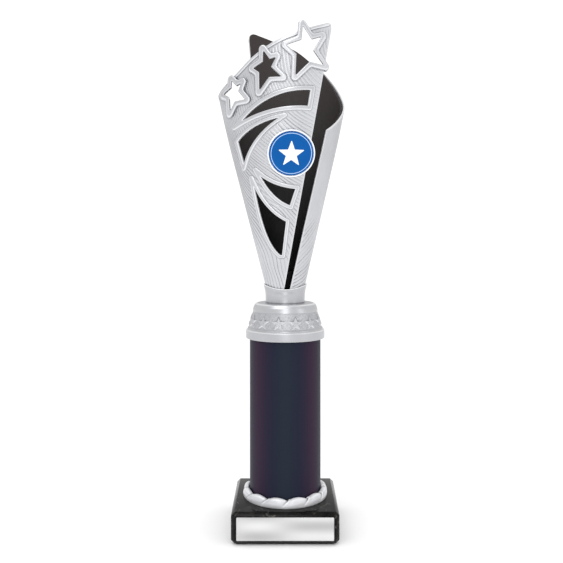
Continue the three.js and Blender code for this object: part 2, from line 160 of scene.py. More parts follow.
def inside(points, loop):
    """Which points lie inside a closed outline."""
    q = np.asarray(points)
    a = np.asarray(loop)
    b = np.roll(a, -1, axis=0)
    hit = np.zeros(len(q), bool)
    low, high = a.min(0), a.max(0)
    near = np.where(((q >= low) & (q <= high)).all(1))[0]
    for start in range(0, len(near), 20000):
        ids = near[start:start + 20000]
        x, y = q[ids, 0][:, None], q[ids, 1][:, None]
        spans = (a[:, 1] > y) != (b[:, 1] > y)
        rise = np.where(b[:, 1] == a[:, 1], 1e-12, b[:, 1] - a[:, 1])
        crossing = a[:, 0] + (y - a[:, 1]) * (b[:, 0] - a[:, 0]) / rise
        hit[ids] = ((spans & (x < crossing)).sum(1) % 2).astype(bool)
    return hit


def tree_of(points):
    tree = kdtree.KDTree(len(points))
    for i, (x, y) in enumerate(points):
        tree.insert((x, y, 0), i)
    tree.balance()
    return tree


class Nearness:
    """Distances in the plane to a densely divided line."""

    def __init__(self, points, closed=True, step=0.12):
        self.tree = tree_of(evenly(points, step, closed))

    def __call__(self, points):
        return np.array([self.tree.find((x, y, 0))[2] for x, y in np.asarray(points)])


def beside(line, distance, closed=True, gap=0.42):
    """Points at a distance to the right of a line, rounding its outer corners, and nowhere nearer to it."""
    p = evenly(line, gap, closed)
    found = []
    for i in range(len(p) if closed else len(p) - 1):
        a, b = p[i], p[(i + 1) % len(p)]
        ahead = unit(b - a)
        found.append((a + b) / 2 + np.array([ahead[1], -ahead[0]]) * distance)
        if closed or i > 0:
            behind = unit(a - p[i - 1])
            turn = turn_between(behind, ahead)
            if turn * distance > 0 and abs(turn) > 0.3:
                steps = max(2, math.ceil(abs(turn * distance) / gap), math.ceil(abs(turn) / 0.7))
                found += arc(a, distance, math.atan2(-behind[0], behind[1]), turn, steps)
    found = np.array(found)
    return found[Nearness(line, closed)(found) > abs(distance) - 0.012]


def all_beside(line, distances, **settings):
    return [beside(line, distance, **settings) for distance in distances]


# ---------------------------------------------------------------- the rolled cup
# Turn angle in degrees: 0 at the front, 90 at the right, 180 at the back, 270 at the left, 360 at the front.
def cup_radius(turn, z):
    height = z - CUP_DATUM
    past = np.maximum(0, height - EASE_FROM)
    slope = SLOPE_RIGHT + (SLOPE_LEFT - SLOPE_RIGHT) * (turn - 90) / 180
    return CUP_DATUM_RADIUS + slope * (height - past * past / EASE_LENGTH)


def around(radius, angle, *columns):
    """Points round the axis, angle 0 at the front: x, y, then the height and whatever else is given."""
    return np.stack([radius * np.sin(angle), -radius * np.cos(angle), *[c + 0 * angle for c in columns]], 1)


def on_cup(turn, z, offset):
    return around(cup_radius(turn, z) + offset, np.radians(turn), z)


def turn_at(x, z, side, offset=0.0):
    """The turn angle at which the cup's side (panel, wrap or back) has this x at this height."""
    x, z = np.asarray(x, float), np.asarray(z, float)
    turn = np.full(x.shape, {"panel": 360.0, "wrap": 30.0, "back": 180.0}[side])
    for _ in range(14):
        sine = np.degrees(np.arcsin(np.clip(x / (cup_radius(turn, z) + offset), -1, 1)))
        turn = {"panel": 360 + sine, "wrap": sine, "back": 180 - sine}[side]
    return turn


def on_front(points, offset):
    """Points of the front elevation, put on the front panel at an offset from its outer face."""
    x, z = points[:, 0], points[:, 1]
    turn = turn_at(x, z, "panel", offset)
    r = cup_radius(turn, z) + offset
    return np.stack([x, -np.sqrt(np.maximum(r * r - x * x, 0)), z], 1)


# The cup is nearly a cone, so its wall can be laid flat with hardly any stretch round the cone's tip.
TIP_HEIGHT, LAY_SINE, LAY_STRETCH, LAY_MIDDLE = 101.3, 0.238, 1.0296, 200.0


def laid_flat(turn, z):
    rho = (np.asarray(z, float) - TIP_HEIGHT) * LAY_STRETCH
    a = np.radians(np.asarray(turn, float) - LAY_MIDDLE) * LAY_SINE
    return np.stack([rho * np.sin(a), rho * np.cos(a)], 1)


def rolled_up(flat):
    rho = np.hypot(flat[:, 0], flat[:, 1])
    a = np.arctan2(flat[:, 0], flat[:, 1])
    return np.degrees(a / LAY_SINE) + LAY_MIDDLE, rho / LAY_STRETCH + TIP_HEIGHT


def on_sheet(flat, offset):
    return on_cup(*rolled_up(flat), offset)


# ---------------------------------------------------------------- solids over a flat region
def grid_inside(loops, spacing, where=None):
    """A triangular grid of points inside an outline, the first loop, and outside every hole, the others."""
    pairs = [(loop, np.roll(loop, -1, axis=0)) for loop in loops]
    low, high = loops[0].min(0), loops[0].max(0)
    rows = []
    for k, y in enumerate(np.arange(low[1], high[1], spacing * 0.866) + 1e-4):
        x = np.arange(low[0] + spacing / 2 * (k % 2), high[0], spacing)
        for i, (a, b) in enumerate(pairs):
            cut = (a[:, 1] > y) != (b[:, 1] > y)
            p, q = a[cut], b[cut]
            crossings = np.sort(p[:, 0] + (y - p[:, 1]) * (q[:, 0] - p[:, 0]) / (q[:, 1] - p[:, 1]))
            x = x[np.searchsorted(crossings, x) % 2 == (1 if i == 0 else 0)]
        rows.append(np.stack([x, np.full(x.shape, y)], 1))
    points = np.vstack(rows)
    return points if where is None else points[where(points)]


def clear_of(points, others, gap):
    tree = tree_of(others)
    return points[np.array([tree.find((x, y, 0))[2] > gap for x, y in points], bool)]


def in_region(points, outline, holes):
    keep = inside(points, outline)
    for hole in holes:
        keep &= ~inside(points, hole)
    return keep


def free_points(rows, grid, fixed, outline, holes, gap):
    """The points of the rows that lie in a region, and those of the grid that are clear of them."""
    near = np.vstack([np.zeros((0, 2)), *rows])
    near = clear_of(near[in_region(near, outline, holes)], fixed, 0.03)
    return np.vstack([near, clear_of(grid, np.vstack([fixed, near]), gap)])


def triangulated(fixed, edges, free, outline, holes):
    """Triangles of a region: fixed points with their edges, and free points inside it."""
    points = np.vstack([fixed, free])
    made = delaunay_2d_cdt([Vector(p) for p in points.tolist()], edges, [], 0, 1e-6, False)
    verts = np.array([(v[0], v[1]) for v in made[0]])
    faces = np.array(made[2], int)
    doubtful = np.ones(len(faces), bool)
    if len(verts) == len(points):
        doubtful = (faces < len(fixed)).all(1)
    ids = np.where(doubtful)[0]
    wanted = np.ones(len(faces), bool)
    wanted[ids] = in_region(verts[faces[ids]].mean(1), outline, holes)
    return verts, faces[wanted]


def rim_edges(faces):
    """The directed edges that only one triangle uses."""
    edges = np.vstack([faces[:, [0, 1]], faces[:, [1, 2]], faces[:, [2, 0]]])
    code = np.sort(edges, axis=1)
    _, first, count = np.unique(code[:, 0] * 10**7 + code[:, 1], return_index=True, return_counts=True)
    return edges[first[count == 1]]


def solid_over(outline, holes, rows, grid, under_rows, under_grid, place, top, bottom, place_under=None):
    """A closed solid: a fine top, a plain underside, and a wall round the rim of the region.

    top gives each point's height and painted light: -1 for painted shade, 1 for a painted highlight.
    """
    fixed, edges = [], []
    for loop in [outline, *holes]:
        start, n = len(fixed), len(loop)
        fixed += list(loop)
        edges += [(start + i, start + (i + 1) % n) for i in range(n)]
    fixed = np.array(fixed)
    free = free_points(rows, grid, fixed, outline, holes, 0.6 * FINE)
    verts, faces = triangulated(fixed, edges, free, outline, holes)
    used, faces = np.unique(faces, return_inverse=True)
    verts, faces = verts[used], faces.reshape(-1, 3)
    rim = rim_edges(faces)
    ring, local = np.unique(rim, return_inverse=True)
    local = local.reshape(-1, 2)
    below = free_points(under_rows, under_grid, verts[ring], outline, holes, 0.7)
    back, back_faces = triangulated(verts[ring], local.tolist(), below, outline, holes)
    if len(back) != len(ring) + len(below):
        raise RuntimeError("the underside's rim doesn't match the top's")
    height, painted_tone = top(verts)
    upper = np.column_stack([place(verts, height), np.broadcast_to(painted_tone, len(verts))])
    # the underside's rim copies the painted light of the top's rim, the rest of the underside gets none
    painted_tone_below = np.zeros(len(back))
    painted_tone_below[:len(ring)] = np.broadcast_to(painted_tone, len(verts))[ring]
    lower = np.column_stack([(place_under or place)(back, bottom(back)), painted_tone_below])
    n = len(verts)
    solid_faces = faces.tolist() + (back_faces[:, ::-1] + n).tolist()
    solid_faces += [(int(b), int(a), int(p) + n, int(q) + n) for (a, b), (p, q) in zip(rim, local)]
    return np.vstack([upper, lower]), solid_faces


def together(*parts):
    points, faces, count = [], [], 0
    for p, f in parts:
        points.append(p if p.shape[1] == 4 else np.column_stack([p, np.zeros(len(p))]))
        faces += [tuple(i + count for i in face) for face in f]
        count += len(p)
    return np.vstack(points), faces


# ---------------------------------------------------------------- meshes and pieces
def add_mesh(name, solid, materials, sharp=35.0, material_of=None):
    points, faces = solid
    points = np.asarray(points, float)
    mesh = bpy.data.meshes.new(name)
    mesh.from_pydata((points[:, :3] * MM).tolist(), [], faces)
    if points.shape[1] == 4:
        # painted light and shade, kept on the mesh for the materials to read
        mesh.attributes.new("painted_tone", "FLOAT", "POINT").data.foreach_set("value", points[:, 3])
    work = bmesh.new()
    work.from_mesh(mesh)
    loose = [v for v in work.verts if not v.link_faces]
    bmesh.ops.delete(work, geom=loose, context="VERTS")
    bmesh.ops.recalc_face_normals(work, faces=work.faces)
    work.to_mesh(mesh)
    work.free()
    for material in materials:
        mesh.materials.append(material)
    if material_of is not None:
        mesh.polygons.foreach_set("material_index", material_of)
    mesh.shade_smooth()
    mesh.set_sharp_from_angle(angle=math.radians(sharp))
    piece = bpy.data.objects.new(name, mesh)
    bpy.context.scene.collection.objects.link(piece)
    return piece


def stand_for(piece, cad_node, slot):
    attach(piece, "root")
    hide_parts(cad_node)


def skin(rows, closed_across=False, closed_along=True):
    """Quads over a grid of points: rows[i][j], closed along j by default."""
    grid = np.array(rows, float)
    m, n = grid.shape[:2]
    faces = []
    for i in range(m if closed_across else m - 1):
        for j in range(n if closed_along else n - 1):
            k, l = (i + 1) % m, (j + 1) % n
            faces.append((i * n + j, i * n + l, k * n + l, k * n + j))
    return grid.reshape(m * n, -1), faces


def eased(profile, step=0.0):
    """A profile of (radius, height, fillet) corners with the fillets turned into arcs."""
    p = [np.array(c[:2], float) for c in profile]
    out = [p[0]]
    for i in range(1, len(p) - 1):
        fillet = profile[i][2] if len(profile[i]) > 2 else 0
        back, on, half, side = corner_at(p[i - 1], p[i], p[i + 1])
        if not fillet or half > 1.53:
            out.append(p[i])
            continue
        reach = min(fillet / math.tan(half), 0.49 * side)
        for t in np.linspace(0, 1, 6):
            a, c = p[i] + back * reach, p[i] + on * reach
            out.append((1 - t) ** 2 * a + 2 * t * (1 - t) * p[i] + t * t * c)
    out.append(p[-1])
    return evenly(out, step, closed=False) if step else np.array(out)


def all_round(segments):
    return np.arange(segments) * 2 * math.pi / segments


def turned(profile, segments):
    """A solid of revolution whose profile starts and ends on the axis."""
    return skin([around(r, all_round(segments), z) for r, z in profile])


# ---------------------------------------------------------------- materials
class Signal:
    """A node's output, which arithmetic extends with math nodes."""

    def __init__(self, socket):
        self.socket, self.tree = socket, socket.id_data

    def math(self, operation, other=0.0):
        return signal(self.tree, "ShaderNodeMath", {"operation": operation}, i0=self, i1=other)

    def __add__(self, other):
        return self.math("ADD", other)

    def __sub__(self, other):
        return self.math("SUBTRACT", other)

    def __mul__(self, other):
        return self.math("MULTIPLY", other)

    def __truediv__(self, other):
        return self.math("DIVIDE", other)


def node(tree, kind, settings=None, **inputs):
    """A node with its inputs set or linked, each given by its name or, as i0 or i1, by its place."""
    made = tree.nodes.new(kind)
    for key, value in (settings or {}).items():
        setattr(made, key, value)
    for key, value in inputs.items():
        by_place = key[0] == "i" and key[1:].isdigit()
        socket = made.inputs[int(key[1:]) if by_place else key.replace("_", " ")]
        if isinstance(value, Signal):
            tree.links.new(value.socket, socket)
        else:
            socket.default_value = value
    return made


def signal(tree, kind, settings=None, output=0, **inputs):
    return Signal(node(tree, kind, settings, **inputs).outputs[output])


def ramp(factor, stops):
    made = node(factor.tree, "ShaderNodeValToRGB", i0=factor)
    elements = made.color_ramp.elements
    while len(elements) < len(stops):
        elements.new(0.5)
    for element, (position, colour) in zip(elements, stops):
        element.position = position
        element.color = (*colour, 1)
    return Signal(made.outputs[0])


def noise(place, scale, detail=3.0, roughness=0.55, distortion=0.0):
    return signal(place.tree, "ShaderNodeTexNoise", Vector=place, Scale=scale, Detail=detail,
                  Roughness=roughness, Distortion=distortion)


def stretched(place, scale):
    return signal(place.tree, "ShaderNodeVectorMath", {"operation": "MULTIPLY"}, i0=place, i1=scale)


def axes(place):
    split = node(place.tree, "ShaderNodeSeparateXYZ", i0=place)
    return [Signal(output) for output in split.outputs]


def mixed(amount, colour, aim):
    return signal(amount.tree, "ShaderNodeMix", {"data_type": "RGBA"}, 2, i0=amount, i6=colour, i7=(*aim, 1))


def spread(value, low, high):
    return signal(value.tree, "ShaderNodeMapRange", Value=value, From_Min=0.3, From_Max=0.7, To_Min=low,
                  To_Max=high)


def new_material(name):
    made = bpy.data.materials.new(name)
    made.use_nodes = True
    return made, made.node_tree, next(n for n in made.node_tree.nodes if n.type == "BSDF_PRINCIPLED")


def finish_of(name, build, metallic=0.0, ior=1.5, coat=0.0, coat_roughness=0.03, sheen=0.0):
    """A material; build(place) returns its colour, roughness, bump height and bump distance."""
    made, tree, shader = new_material(name)
    colour, roughness, height, distance = build(signal(tree, "ShaderNodeTexCoord", output="Object"))
    bump = signal(tree, "ShaderNodeBump", Strength=1.0, Distance=distance, Height=height)
    for key, value in (("Base Color", colour), ("Roughness", roughness), ("Normal", bump)):
        tree.links.new(value.socket, shader.inputs[key])
    for key, value in (("Metallic", metallic), ("IOR", ior), ("Coat Weight", coat),
                       ("Coat Roughness", coat_roughness), ("Sheen Weight", sheen)):
        shader.inputs[key].default_value = value
    return made


def with_painted_light(colour):
    """Painted light and shade: the colour mixed towards near-white where the mesh's painted light value marks
    a highlight, and towards dark grey where it marks shade in grooves and creases.
    """
    painted_tone = signal(colour.tree, "ShaderNodeAttribute", {"attribute_name": "painted_tone"}, "Fac")
    # painted highlight: towards near-white where the value is above 0
    lighter = mixed(painted_tone.math("MAXIMUM"), colour, (0.93, 0.935, 0.95))
    # painted shade: towards dark grey where the value is below 0
    return mixed((painted_tone * -1.0).math("MAXIMUM"), lighter, (0.16, 0.16, 0.17))


def silver(low, high):
    """A maker of metallised plastic: faint clouding between two colours, a satin grain, worn patches in its
    roughness, and the mesh's painted highlights and painted shade.
    """

    def build(place):
        cloud, grain, scuffs = noise(place, 45, 4), noise(place, 2600, 2), noise(place, 220, 6, 0.7, 0.4)
        roughness = spread(cloud * 0.5 + scuffs * 0.5, 0.27, 0.36)
        return with_painted_light(ramp(cloud, [(0.3, low), (0.7, high)])), roughness, grain, 0.00001

    return build


def frosted(place):
    """The collar's sunk band: the same plastic with a coarse matt grain, and the mesh's painted highlights
    and painted shade.
    """
    grain = noise(place, 1500, 3, 0.7)
    colour = ramp(grain, [(0.35, (0.36, 0.363, 0.38)), (0.65, (0.56, 0.565, 0.59))])
    return with_painted_light(colour), spread(grain, 0.36, 0.5), grain, 0.00008


def soft_black(place):
    """The cup's black lining, a little brown, with painted shade: lighter towards the mouth where light falls
    in, deep black towards the foot.
    """
    # painted shade: darker the deeper down the cup
    up = (axes(place)[2] - 0.17) / 0.15
    colour = ramp(noise(place, 60, 3) * 0.25 + up * 0.75,
                  [(0.1, (0.002, 0.002, 0.002)), (0.2, (0.007, 0.007, 0.007)), (0.32, (0.022, 0.020, 0.0205)),
                   (0.55, (0.034, 0.029, 0.0285)), (0.9, (0.035, 0.027, 0.025))])
    return colour, spread(noise(place, 300, 5), 0.52, 0.62), noise(place, 1800, 2), 0.000012


def marble(place):
    """Polished black stone: grey clouds, thin pale veins and specks."""
    nothing, whole = (0, 0, 0), (1, 1, 1)
    cloud, vein = noise(place, 110, 8, 0.65, 0.6), noise(place, 75, 6, 0.6, 1.4)
    line = ramp((vein - 0.5).math("ABSOLUTE"), [(0.0, whole), (0.01, (0.3, 0.3, 0.3)), (0.02, nothing)])
    patch = ramp(noise(place, 150, 4), [(0.5, nothing), (0.62, whole)])
    speck = ramp(noise(place, 900, 3), [(0.62, nothing), (0.72, whole)])
    stone = ramp(cloud, [(0.35, (0.0018, 0.0017, 0.0017)), (0.55, (0.006, 0.0056, 0.0054)),
                         (0.75, (0.02, 0.018, 0.017))])
    colour = mixed(line * patch * 0.42 + speck * 0.07, stone, (0.27, 0.25, 0.22))
    return colour, spread(cloud, 0.1, 0.2), vein, 0.00002


def foil(place):
    """Dark foil with a painted sheen: its colour shift from blue to purple, which changes with the angle of
    view, is painted at fixed places round the tube, with a fine sparkle.
    """
    x, y, _ = axes(place)
    streak = noise(stretched(place, (1, 1, 0.04)), 900, 2)
    turn = x.math("ARCTAN2", y * -1.0) / (2 * math.pi) + 0.5 + (streak - 0.5) * 0.03
    blue, teal, purple = (0.013, 0.015, 0.032), (0.0135, 0.020, 0.032), (0.030, 0.015, 0.034)
    # painted sheen: teal facing the front, purple about 49 degrees to either side of it and again either side
    # of the back
    colour = ramp(turn, [(0.0, blue), (0.09, purple), (0.2, blue), (0.29, blue), (0.365, purple),
                         (0.44, blue), (0.5, teal), (0.56, blue), (0.635, purple), (0.71, blue),
                         (0.8, blue), (0.91, purple), (1.0, blue)])
    return colour, spread(noise(place, 1500, 2), 0.42, 0.56), noise(place, 2600, 2), 0.00004


def plate_metal(place):
    """A satin silver plate with a soft wavy painted reflection and fine brushing along its length."""
    x, _, z = axes(place)
    along = ((x + 0.016) * (math.pi / 0.030)).math("MAXIMUM", -1.4).math("MINIMUM", math.pi)
    up = (z - 0.0087) * (math.pi / 0.0063)
    # painted reflection: a soft light and dark wave across the plate
    painted_reflection = along.math("COSINE") * up.math("SINE") * 0.5 + 0.5
    colour = ramp(painted_reflection, [(0.0, (0.46, 0.46, 0.46)), (1.0, (0.73, 0.73, 0.73))])
    brushed = noise(stretched(place, (0.03, 1, 1)), 2500, 2)
    return colour, spread(brushed, 0.3, 0.42), brushed, 0.000008


def plain(low, high, rough, scale, bump, detail=3.0):
    """A maker of plain plastic or cloth finishes: two close colours, a roughness range and a grain."""

    def build(place):
        cloud, grain = noise(place, scale / 8, 4), noise(place, scale, detail)
        return ramp(cloud, [(0.3, low), (0.7, high)]), spread(grain, *rough), grain, bump

    return build


SILVER = finish_of("metallised_plastic", silver((0.53, 0.535, 0.56), (0.60, 0.605, 0.63)), metallic=0.75,
                   coat=0.15, coat_roughness=0.2)
SATIN = finish_of("satin_plastic", silver((0.58, 0.585, 0.61), (0.66, 0.665, 0.69)), metallic=0.2, coat=0.1,
                  coat_roughness=0.25)
GREYER = finish_of("greyer_plastic", silver((0.43, 0.433, 0.453), (0.51, 0.514, 0.535)), metallic=0.75,
                   coat=0.1, coat_roughness=0.25)
FROSTED = finish_of("frosted_plastic", frosted, metallic=0.6)
BLACK = finish_of("black_plastic", soft_black, ior=1.36)
MARBLE = finish_of("black_marble", marble, ior=1.22)
FOIL = finish_of("purple_foil", foil, metallic=0.15, ior=1.2)
PLATE = finish_of("plate_metal", plate_metal, metallic=0.3)
WHITE = finish_of("white_plastic", plain((0.80, 0.83, 0.87), (0.86, 0.88, 0.91), (0.28, 0.4), 900, 0.00001),
                  coat=0.2)
BLUE = finish_of("blue_print", plain((0.0, 0.082, 0.31), (0.001, 0.092, 0.34), (0.3, 0.4), 700, 0.000008),
                 ior=1.2)
PALE_BLUE = finish_of("pale_print", plain((0.42, 0.60, 0.86), (0.50, 0.67, 0.90), (0.2, 0.3), 700, 0.000008),
                      coat=0.3)
FELT = finish_of("felt", plain((0.010, 0.010, 0.011), (0.022, 0.022, 0.024), (0.85, 1.0), 1600, 0.00025, 6),
                 sheen=0.3)
STEEL = finish_of("zinc_steel", plain((0.42, 0.42, 0.44), (0.56, 0.56, 0.57), (0.25, 0.42), 1200, 0.00002),
                  metallic=1.0)
MATT_BLACK = finish_of("matt_black", plain((0.002, 0.002, 0.002), (0.004, 0.004, 0.004), (0.6, 0.75), 900,
                                           0.00001), ior=1.2)
TUBE = finish_of("tube_plastic", plain((0.02, 0.02, 0.022), (0.03, 0.03, 0.033), (0.45, 0.6), 800, 0.00002))
TAPE = finish_of("tape", plain((0.75, 0.74, 0.69), (0.82, 0.81, 0.77), (0.6, 0.8), 900, 0.00002))


# ---------------------------------------------------------------- base
def stone_block():
    """A block with every edge cut off, bored from below for the rod, its nut and its washer."""
    a, b = BASE_WIDTH / 2, BASE_WIDTH / 2 - BASE_CHAMFER
    work = bmesh.new()
    for z, lift in ((BASE_BOTTOM, BASE_CHAMFER), (BASE_TOP, -BASE_CHAMFER)):
        for x, y in ((a, -b), (a, b), (b, a), (-b, a), (-a, b), (-a, -b), (-b, -a), (b, -a)):
            work.verts.new((x, y, z + lift))
        for x, y in ((-b, -b), (-b, b), (b, -b), (b, b)):
            work.verts.new((x, y, z))
    bmesh.ops.convex_hull(work, input=work.verts)
    bmesh.ops.dissolve_limit(work, angle_limit=0.02, verts=work.verts, edges=work.edges)
    work.verts.ensure_lookup_table()
    solid = np.array([v.co[:] for v in work.verts]), [tuple(v.index for v in f.verts) for f in work.faces]
    work.free()
    block = add_mesh("marble_block", solid, [MARBLE])
    pocket = [(0, -1), (11, -1), (11, 9.5), (3.5, 9.5), (3.5, 30), (0, 30)]
    bore = add_mesh("bore_tool", turned(pocket, 64), [])
    for kind, settings in (("BOOLEAN", {"operation": "DIFFERENCE", "object": bore, "solver": "EXACT"}),
                           ("BEVEL", {"width": 0.28 * MM, "segments": 3, "limit_method": "ANGLE",
                                      "angle_limit": 0.5, "harden_normals": False})):
        modifier = block.modifiers.new(kind, kind)
        for key, value in settings.items():
            setattr(modifier, key, value)
    made = bpy.data.meshes.new_from_object(block.evaluated_get(bpy.context.evaluated_depsgraph_get()))
    block.modifiers.clear()
    block.data = made
    made.shade_smooth()
    made.set_sharp_from_angle(angle=math.radians(28))
    bpy.data.objects.remove(bore)
    return block


def rounded_box(width, height, radius):
    x, y = width / 2, height / 2
    return rounded([(-x, -y), (x, -y), (x, y), (-x, y)], lambda outwards: radius)


def drop(distance, radius):
    """How far a rounded edge of this radius has fallen at a distance in from the edge."""
    d = radius - np.clip(distance, 0, radius)
    return radius - np.sqrt(np.maximum(radius * radius - d * d, 0))


def name_plate():
    width, height, bottom, thickness, tape = 58.3, 13.9, 3.0, 0.5, 0.15
    loop = evenly(rounded_box(width, height, 0.6), 0.8)
    near = Nearness(loop)
    rows = all_beside(loop[::-1], (0.06, 0.15, 0.3, 0.5, 0.6, 0.75), gap=0.8)
    face = -BASE_WIDTH / 2 - tape

    def place(points, offset):
        return np.stack([points[:, 0], face - offset, points[:, 1] + bottom + height / 2], 1)

    def top(points):
        d = near(points)
        step = 0.08 * np.clip((d - 0.5) / 0.2, 0, 1)
        return thickness - drop(d, 0.3) - step, 0.0

    grid = grid_inside([loop], 1.6)
    return solid_over(loop, [], rows, grid, [], grid_inside([loop], 6), place, top,
                      lambda points: np.zeros(len(points)))


def felt_pad():
    loop = evenly(rounded_box(60, 60, 2), 0.9)
    near = Nearness(loop)
    rng = np.random.default_rng(4)
    fuzz = rng.normal(0, 0.05, (len(loop), 2))
    loop = loop + fuzz

    def place(points, offset):
        return np.stack([points[:, 0], points[:, 1], offset], 1)

    rows = all_beside(loop[::-1], (0.1, 0.25), gap=0.9)
    return solid_over(loop, [], rows, grid_inside([loop], 2.5), [], grid_inside([loop], 6), place,
                      lambda points: (0.5 - drop(near(points), 0.18), 0.0), lambda points: 0 * points[:, 0])


# ---------------------------------------------------------------- twisted ring at the foot of the tube
def twisted_ring():
    """Slanted strands round a D-shaped section: each starts with a crest over the end of the last, with
    painted highlights and painted shade.
    """
    strands, section_steps = 12, 48
    inner, middle, outer, foot, half_height = 22.8, 24.6, 27.0, 2.5, 3.5
    lean, phase = 0.19, math.radians(-2.6)
    along = np.array([0, 0.012, 0.03, 0.05, 0.07, 0.09, 0.11, 0.135, 0.16, 0.19, 0.22, 0.27, 0.33, 0.4, 0.47,
                      0.54, 0.61, 0.68, 0.74, 0.8, 0.85, 0.9, 0.94, 0.97, 0.988])
    arch = 0.5 * (1 - np.sin(math.pi * along) ** 0.85)
    valley = arch + np.interp(along, [0, 0.05, 0.1, 0.16, 0.2, 0.3, 1],
                              [0.04, 0.0, -0.05, 0.035, 0.03, 0, 0.04])
    angles = all_round(section_steps)
    outwards, upwards = np.cos(angles), np.sin(angles)
    share = np.clip((upwards + 0.75) / 1.75, 0, 1) ** 0.8
    rows = []
    for strand in range(strands):
        for a, pinch in zip(along, valley):
            size = 1 - pinch * share
            out = np.where(outwards > 0, (outer - middle) * outwards * size,
                           (inner - middle) * np.abs(outwards) ** 0.45)
            turn = 2 * math.pi * (strand + a + lean * upwards) / strands + phase
            radius = middle + out
            height = BASE_TOP + np.maximum(0, foot + half_height * size * upwards)
            # painted light: a highlight on each strand's crest and shade where strands meet, then a highlight
            # along the top and another low on the outer face
            painted_tone = np.interp(a, [0, 0.03, 0.06, 0.1, 0.15, 0.22, 0.3, 0.9, 0.97, 1],
                             [-0.8, -0.5, 0.6, 0.6, -0.25, -0.2, 0, 0, -0.4, -0.8]) * share
            painted_tone = painted_tone + 0.45 * np.clip((upwards - 0.6) * 4, 0, 1) * (0.05 < a < 0.93)
            painted_tone = painted_tone + 0.5 * bell(upwards + 0.45, 0.3)
            rows.append(around(radius, turn, height, np.clip(painted_tone, -1, 1)))
    return skin(rows, closed_across=True)


# ---------------------------------------------------------------- tube and its foil
def foil_wrap():
    """The foil's two ends meet in a seam at the back, where the top layer lifts a little."""
    outer, inner, top, play = 22.6, 22.4, 124.6, 0.04
    angles, heights = all_round(240), np.linspace(BASE_TOP, top, 60)
    past_seam = (angles - math.pi) * outer
    seam = np.where(past_seam > 0, 0.1 * bell(past_seam, 3.0), 0.0)
    rows = [around(outer + (seam - 0.012 * (1 + np.sin(9 * angles + 0.05 * z))) - play, angles, z)
            for z in heights]
    rows += [around(inner, angles, z) for z in heights[::-1]]
    return skin(rows, closed_across=True)


# ---------------------------------------------------------------- collar with raised stars
def star_points(outer, inner):
    angles = [math.radians(90 + 36 * i) for i in range(10)]
    return [(r * math.cos(a), r * math.sin(a)) for r, a in zip([outer, inner] * 5, angles)]


def collar():
    """Rim, a leaning frosted band with raised stars, and a rounded shoulder with a crisp lower edge."""
    stars, phase, segments = 13, 17.0, 936
    low, high, middle = 127.1, 136.5, 130.9
    outside = eased([(24.2, 119.8), (25.0, 119.8, 0.5), (25.0, 124.9, 0.5), (23.95, 125.5, 0.5),
                     (23.9, 126.3, 0.5), (23.05, 127.0, 0.3), (22.75, 128.6), (22.0, 131.2), (21.25, 133.7),
                     (20.5, 136.6, 0.1), (20.7, 136.85, 0.12), (20.55, 138.0, 0.5), (20.1, 139.6, 0.5),
                     (19.1, 141.4, 0.7), (18.0, 141.9, 0.3), (17.0, 142.1), (3.4, 142.1)], 0.3)
    hollow = [(3.4, 138.0), (17.0, 138.0), (21.0, 127.7), (21.2, 125.0), (22.85, 125.0), (22.85, 119.8)]
    angles = all_round(segments)
    pitch = 2 * math.pi / stars
    local = (angles - math.radians(phase) + pitch / 2) % pitch - pitch / 2
    star = np.array(star_points(4.4, 2.05))
    edge = Nearness(star, step=0.06)

    def depth_in(r, z):
        flat = np.stack([local * r, np.full(segments, (z - middle) * 1.03)], 1)
        return edge(flat) * np.where(inside(flat, star), 1, -1)

    rows, finishes = [], []
    for i, (r, z) in enumerate([*outside, *hollow]):
        radius, painted_tone = np.full(segments, float(r)), np.zeros(segments)
        starry = low < z < high and i < len(outside)
        if starry:
            d = depth_in(r, z)
            rising = (depth_in(r, z + 0.1) - depth_in(r, z - 0.1)) / 0.2
            radius = radius + 0.5 * np.clip((d + 0.1) / 0.45, 0, 1)
            # painted light on the stars: painted shade along their upper edges, strongest at the top tips, a
            # painted highlight along their lower edges, and their faces painted a little lighter
            tip = np.where(np.abs(local * r) < 1.9, 1.5, 0.5)
            painted_glint_and_shade = bell(d - 0.05, 0.22) * np.where(rising < 0, tip, 0.8) * rising
            painted_tone = np.where(d > 0.2, 0.12, 0.0) + painted_glint_and_shade
        elif z > high and r > 17.5:
            # painted light on the shoulder: lighter overall, a painted highlight along its top edge, painted
            # shade at its lower edge
            painted_tone = painted_tone + 0.2 + 0.7 * bell(z - 141.5, 0.35) - 0.35 * bell(z - 136.65, 0.2)
        elif i < len(outside) and r > 23.5:
            # a painted highlight along the rim's edge
            painted_tone = painted_tone + 0.9 * bell(z - 125.05, 0.3)
        rows.append(around(radius, angles, z, np.clip(painted_tone, -1, 1)))
        finishes.append(np.full(segments, int(starry)))
    return skin(rows, closed_across=True), np.concatenate(finishes)


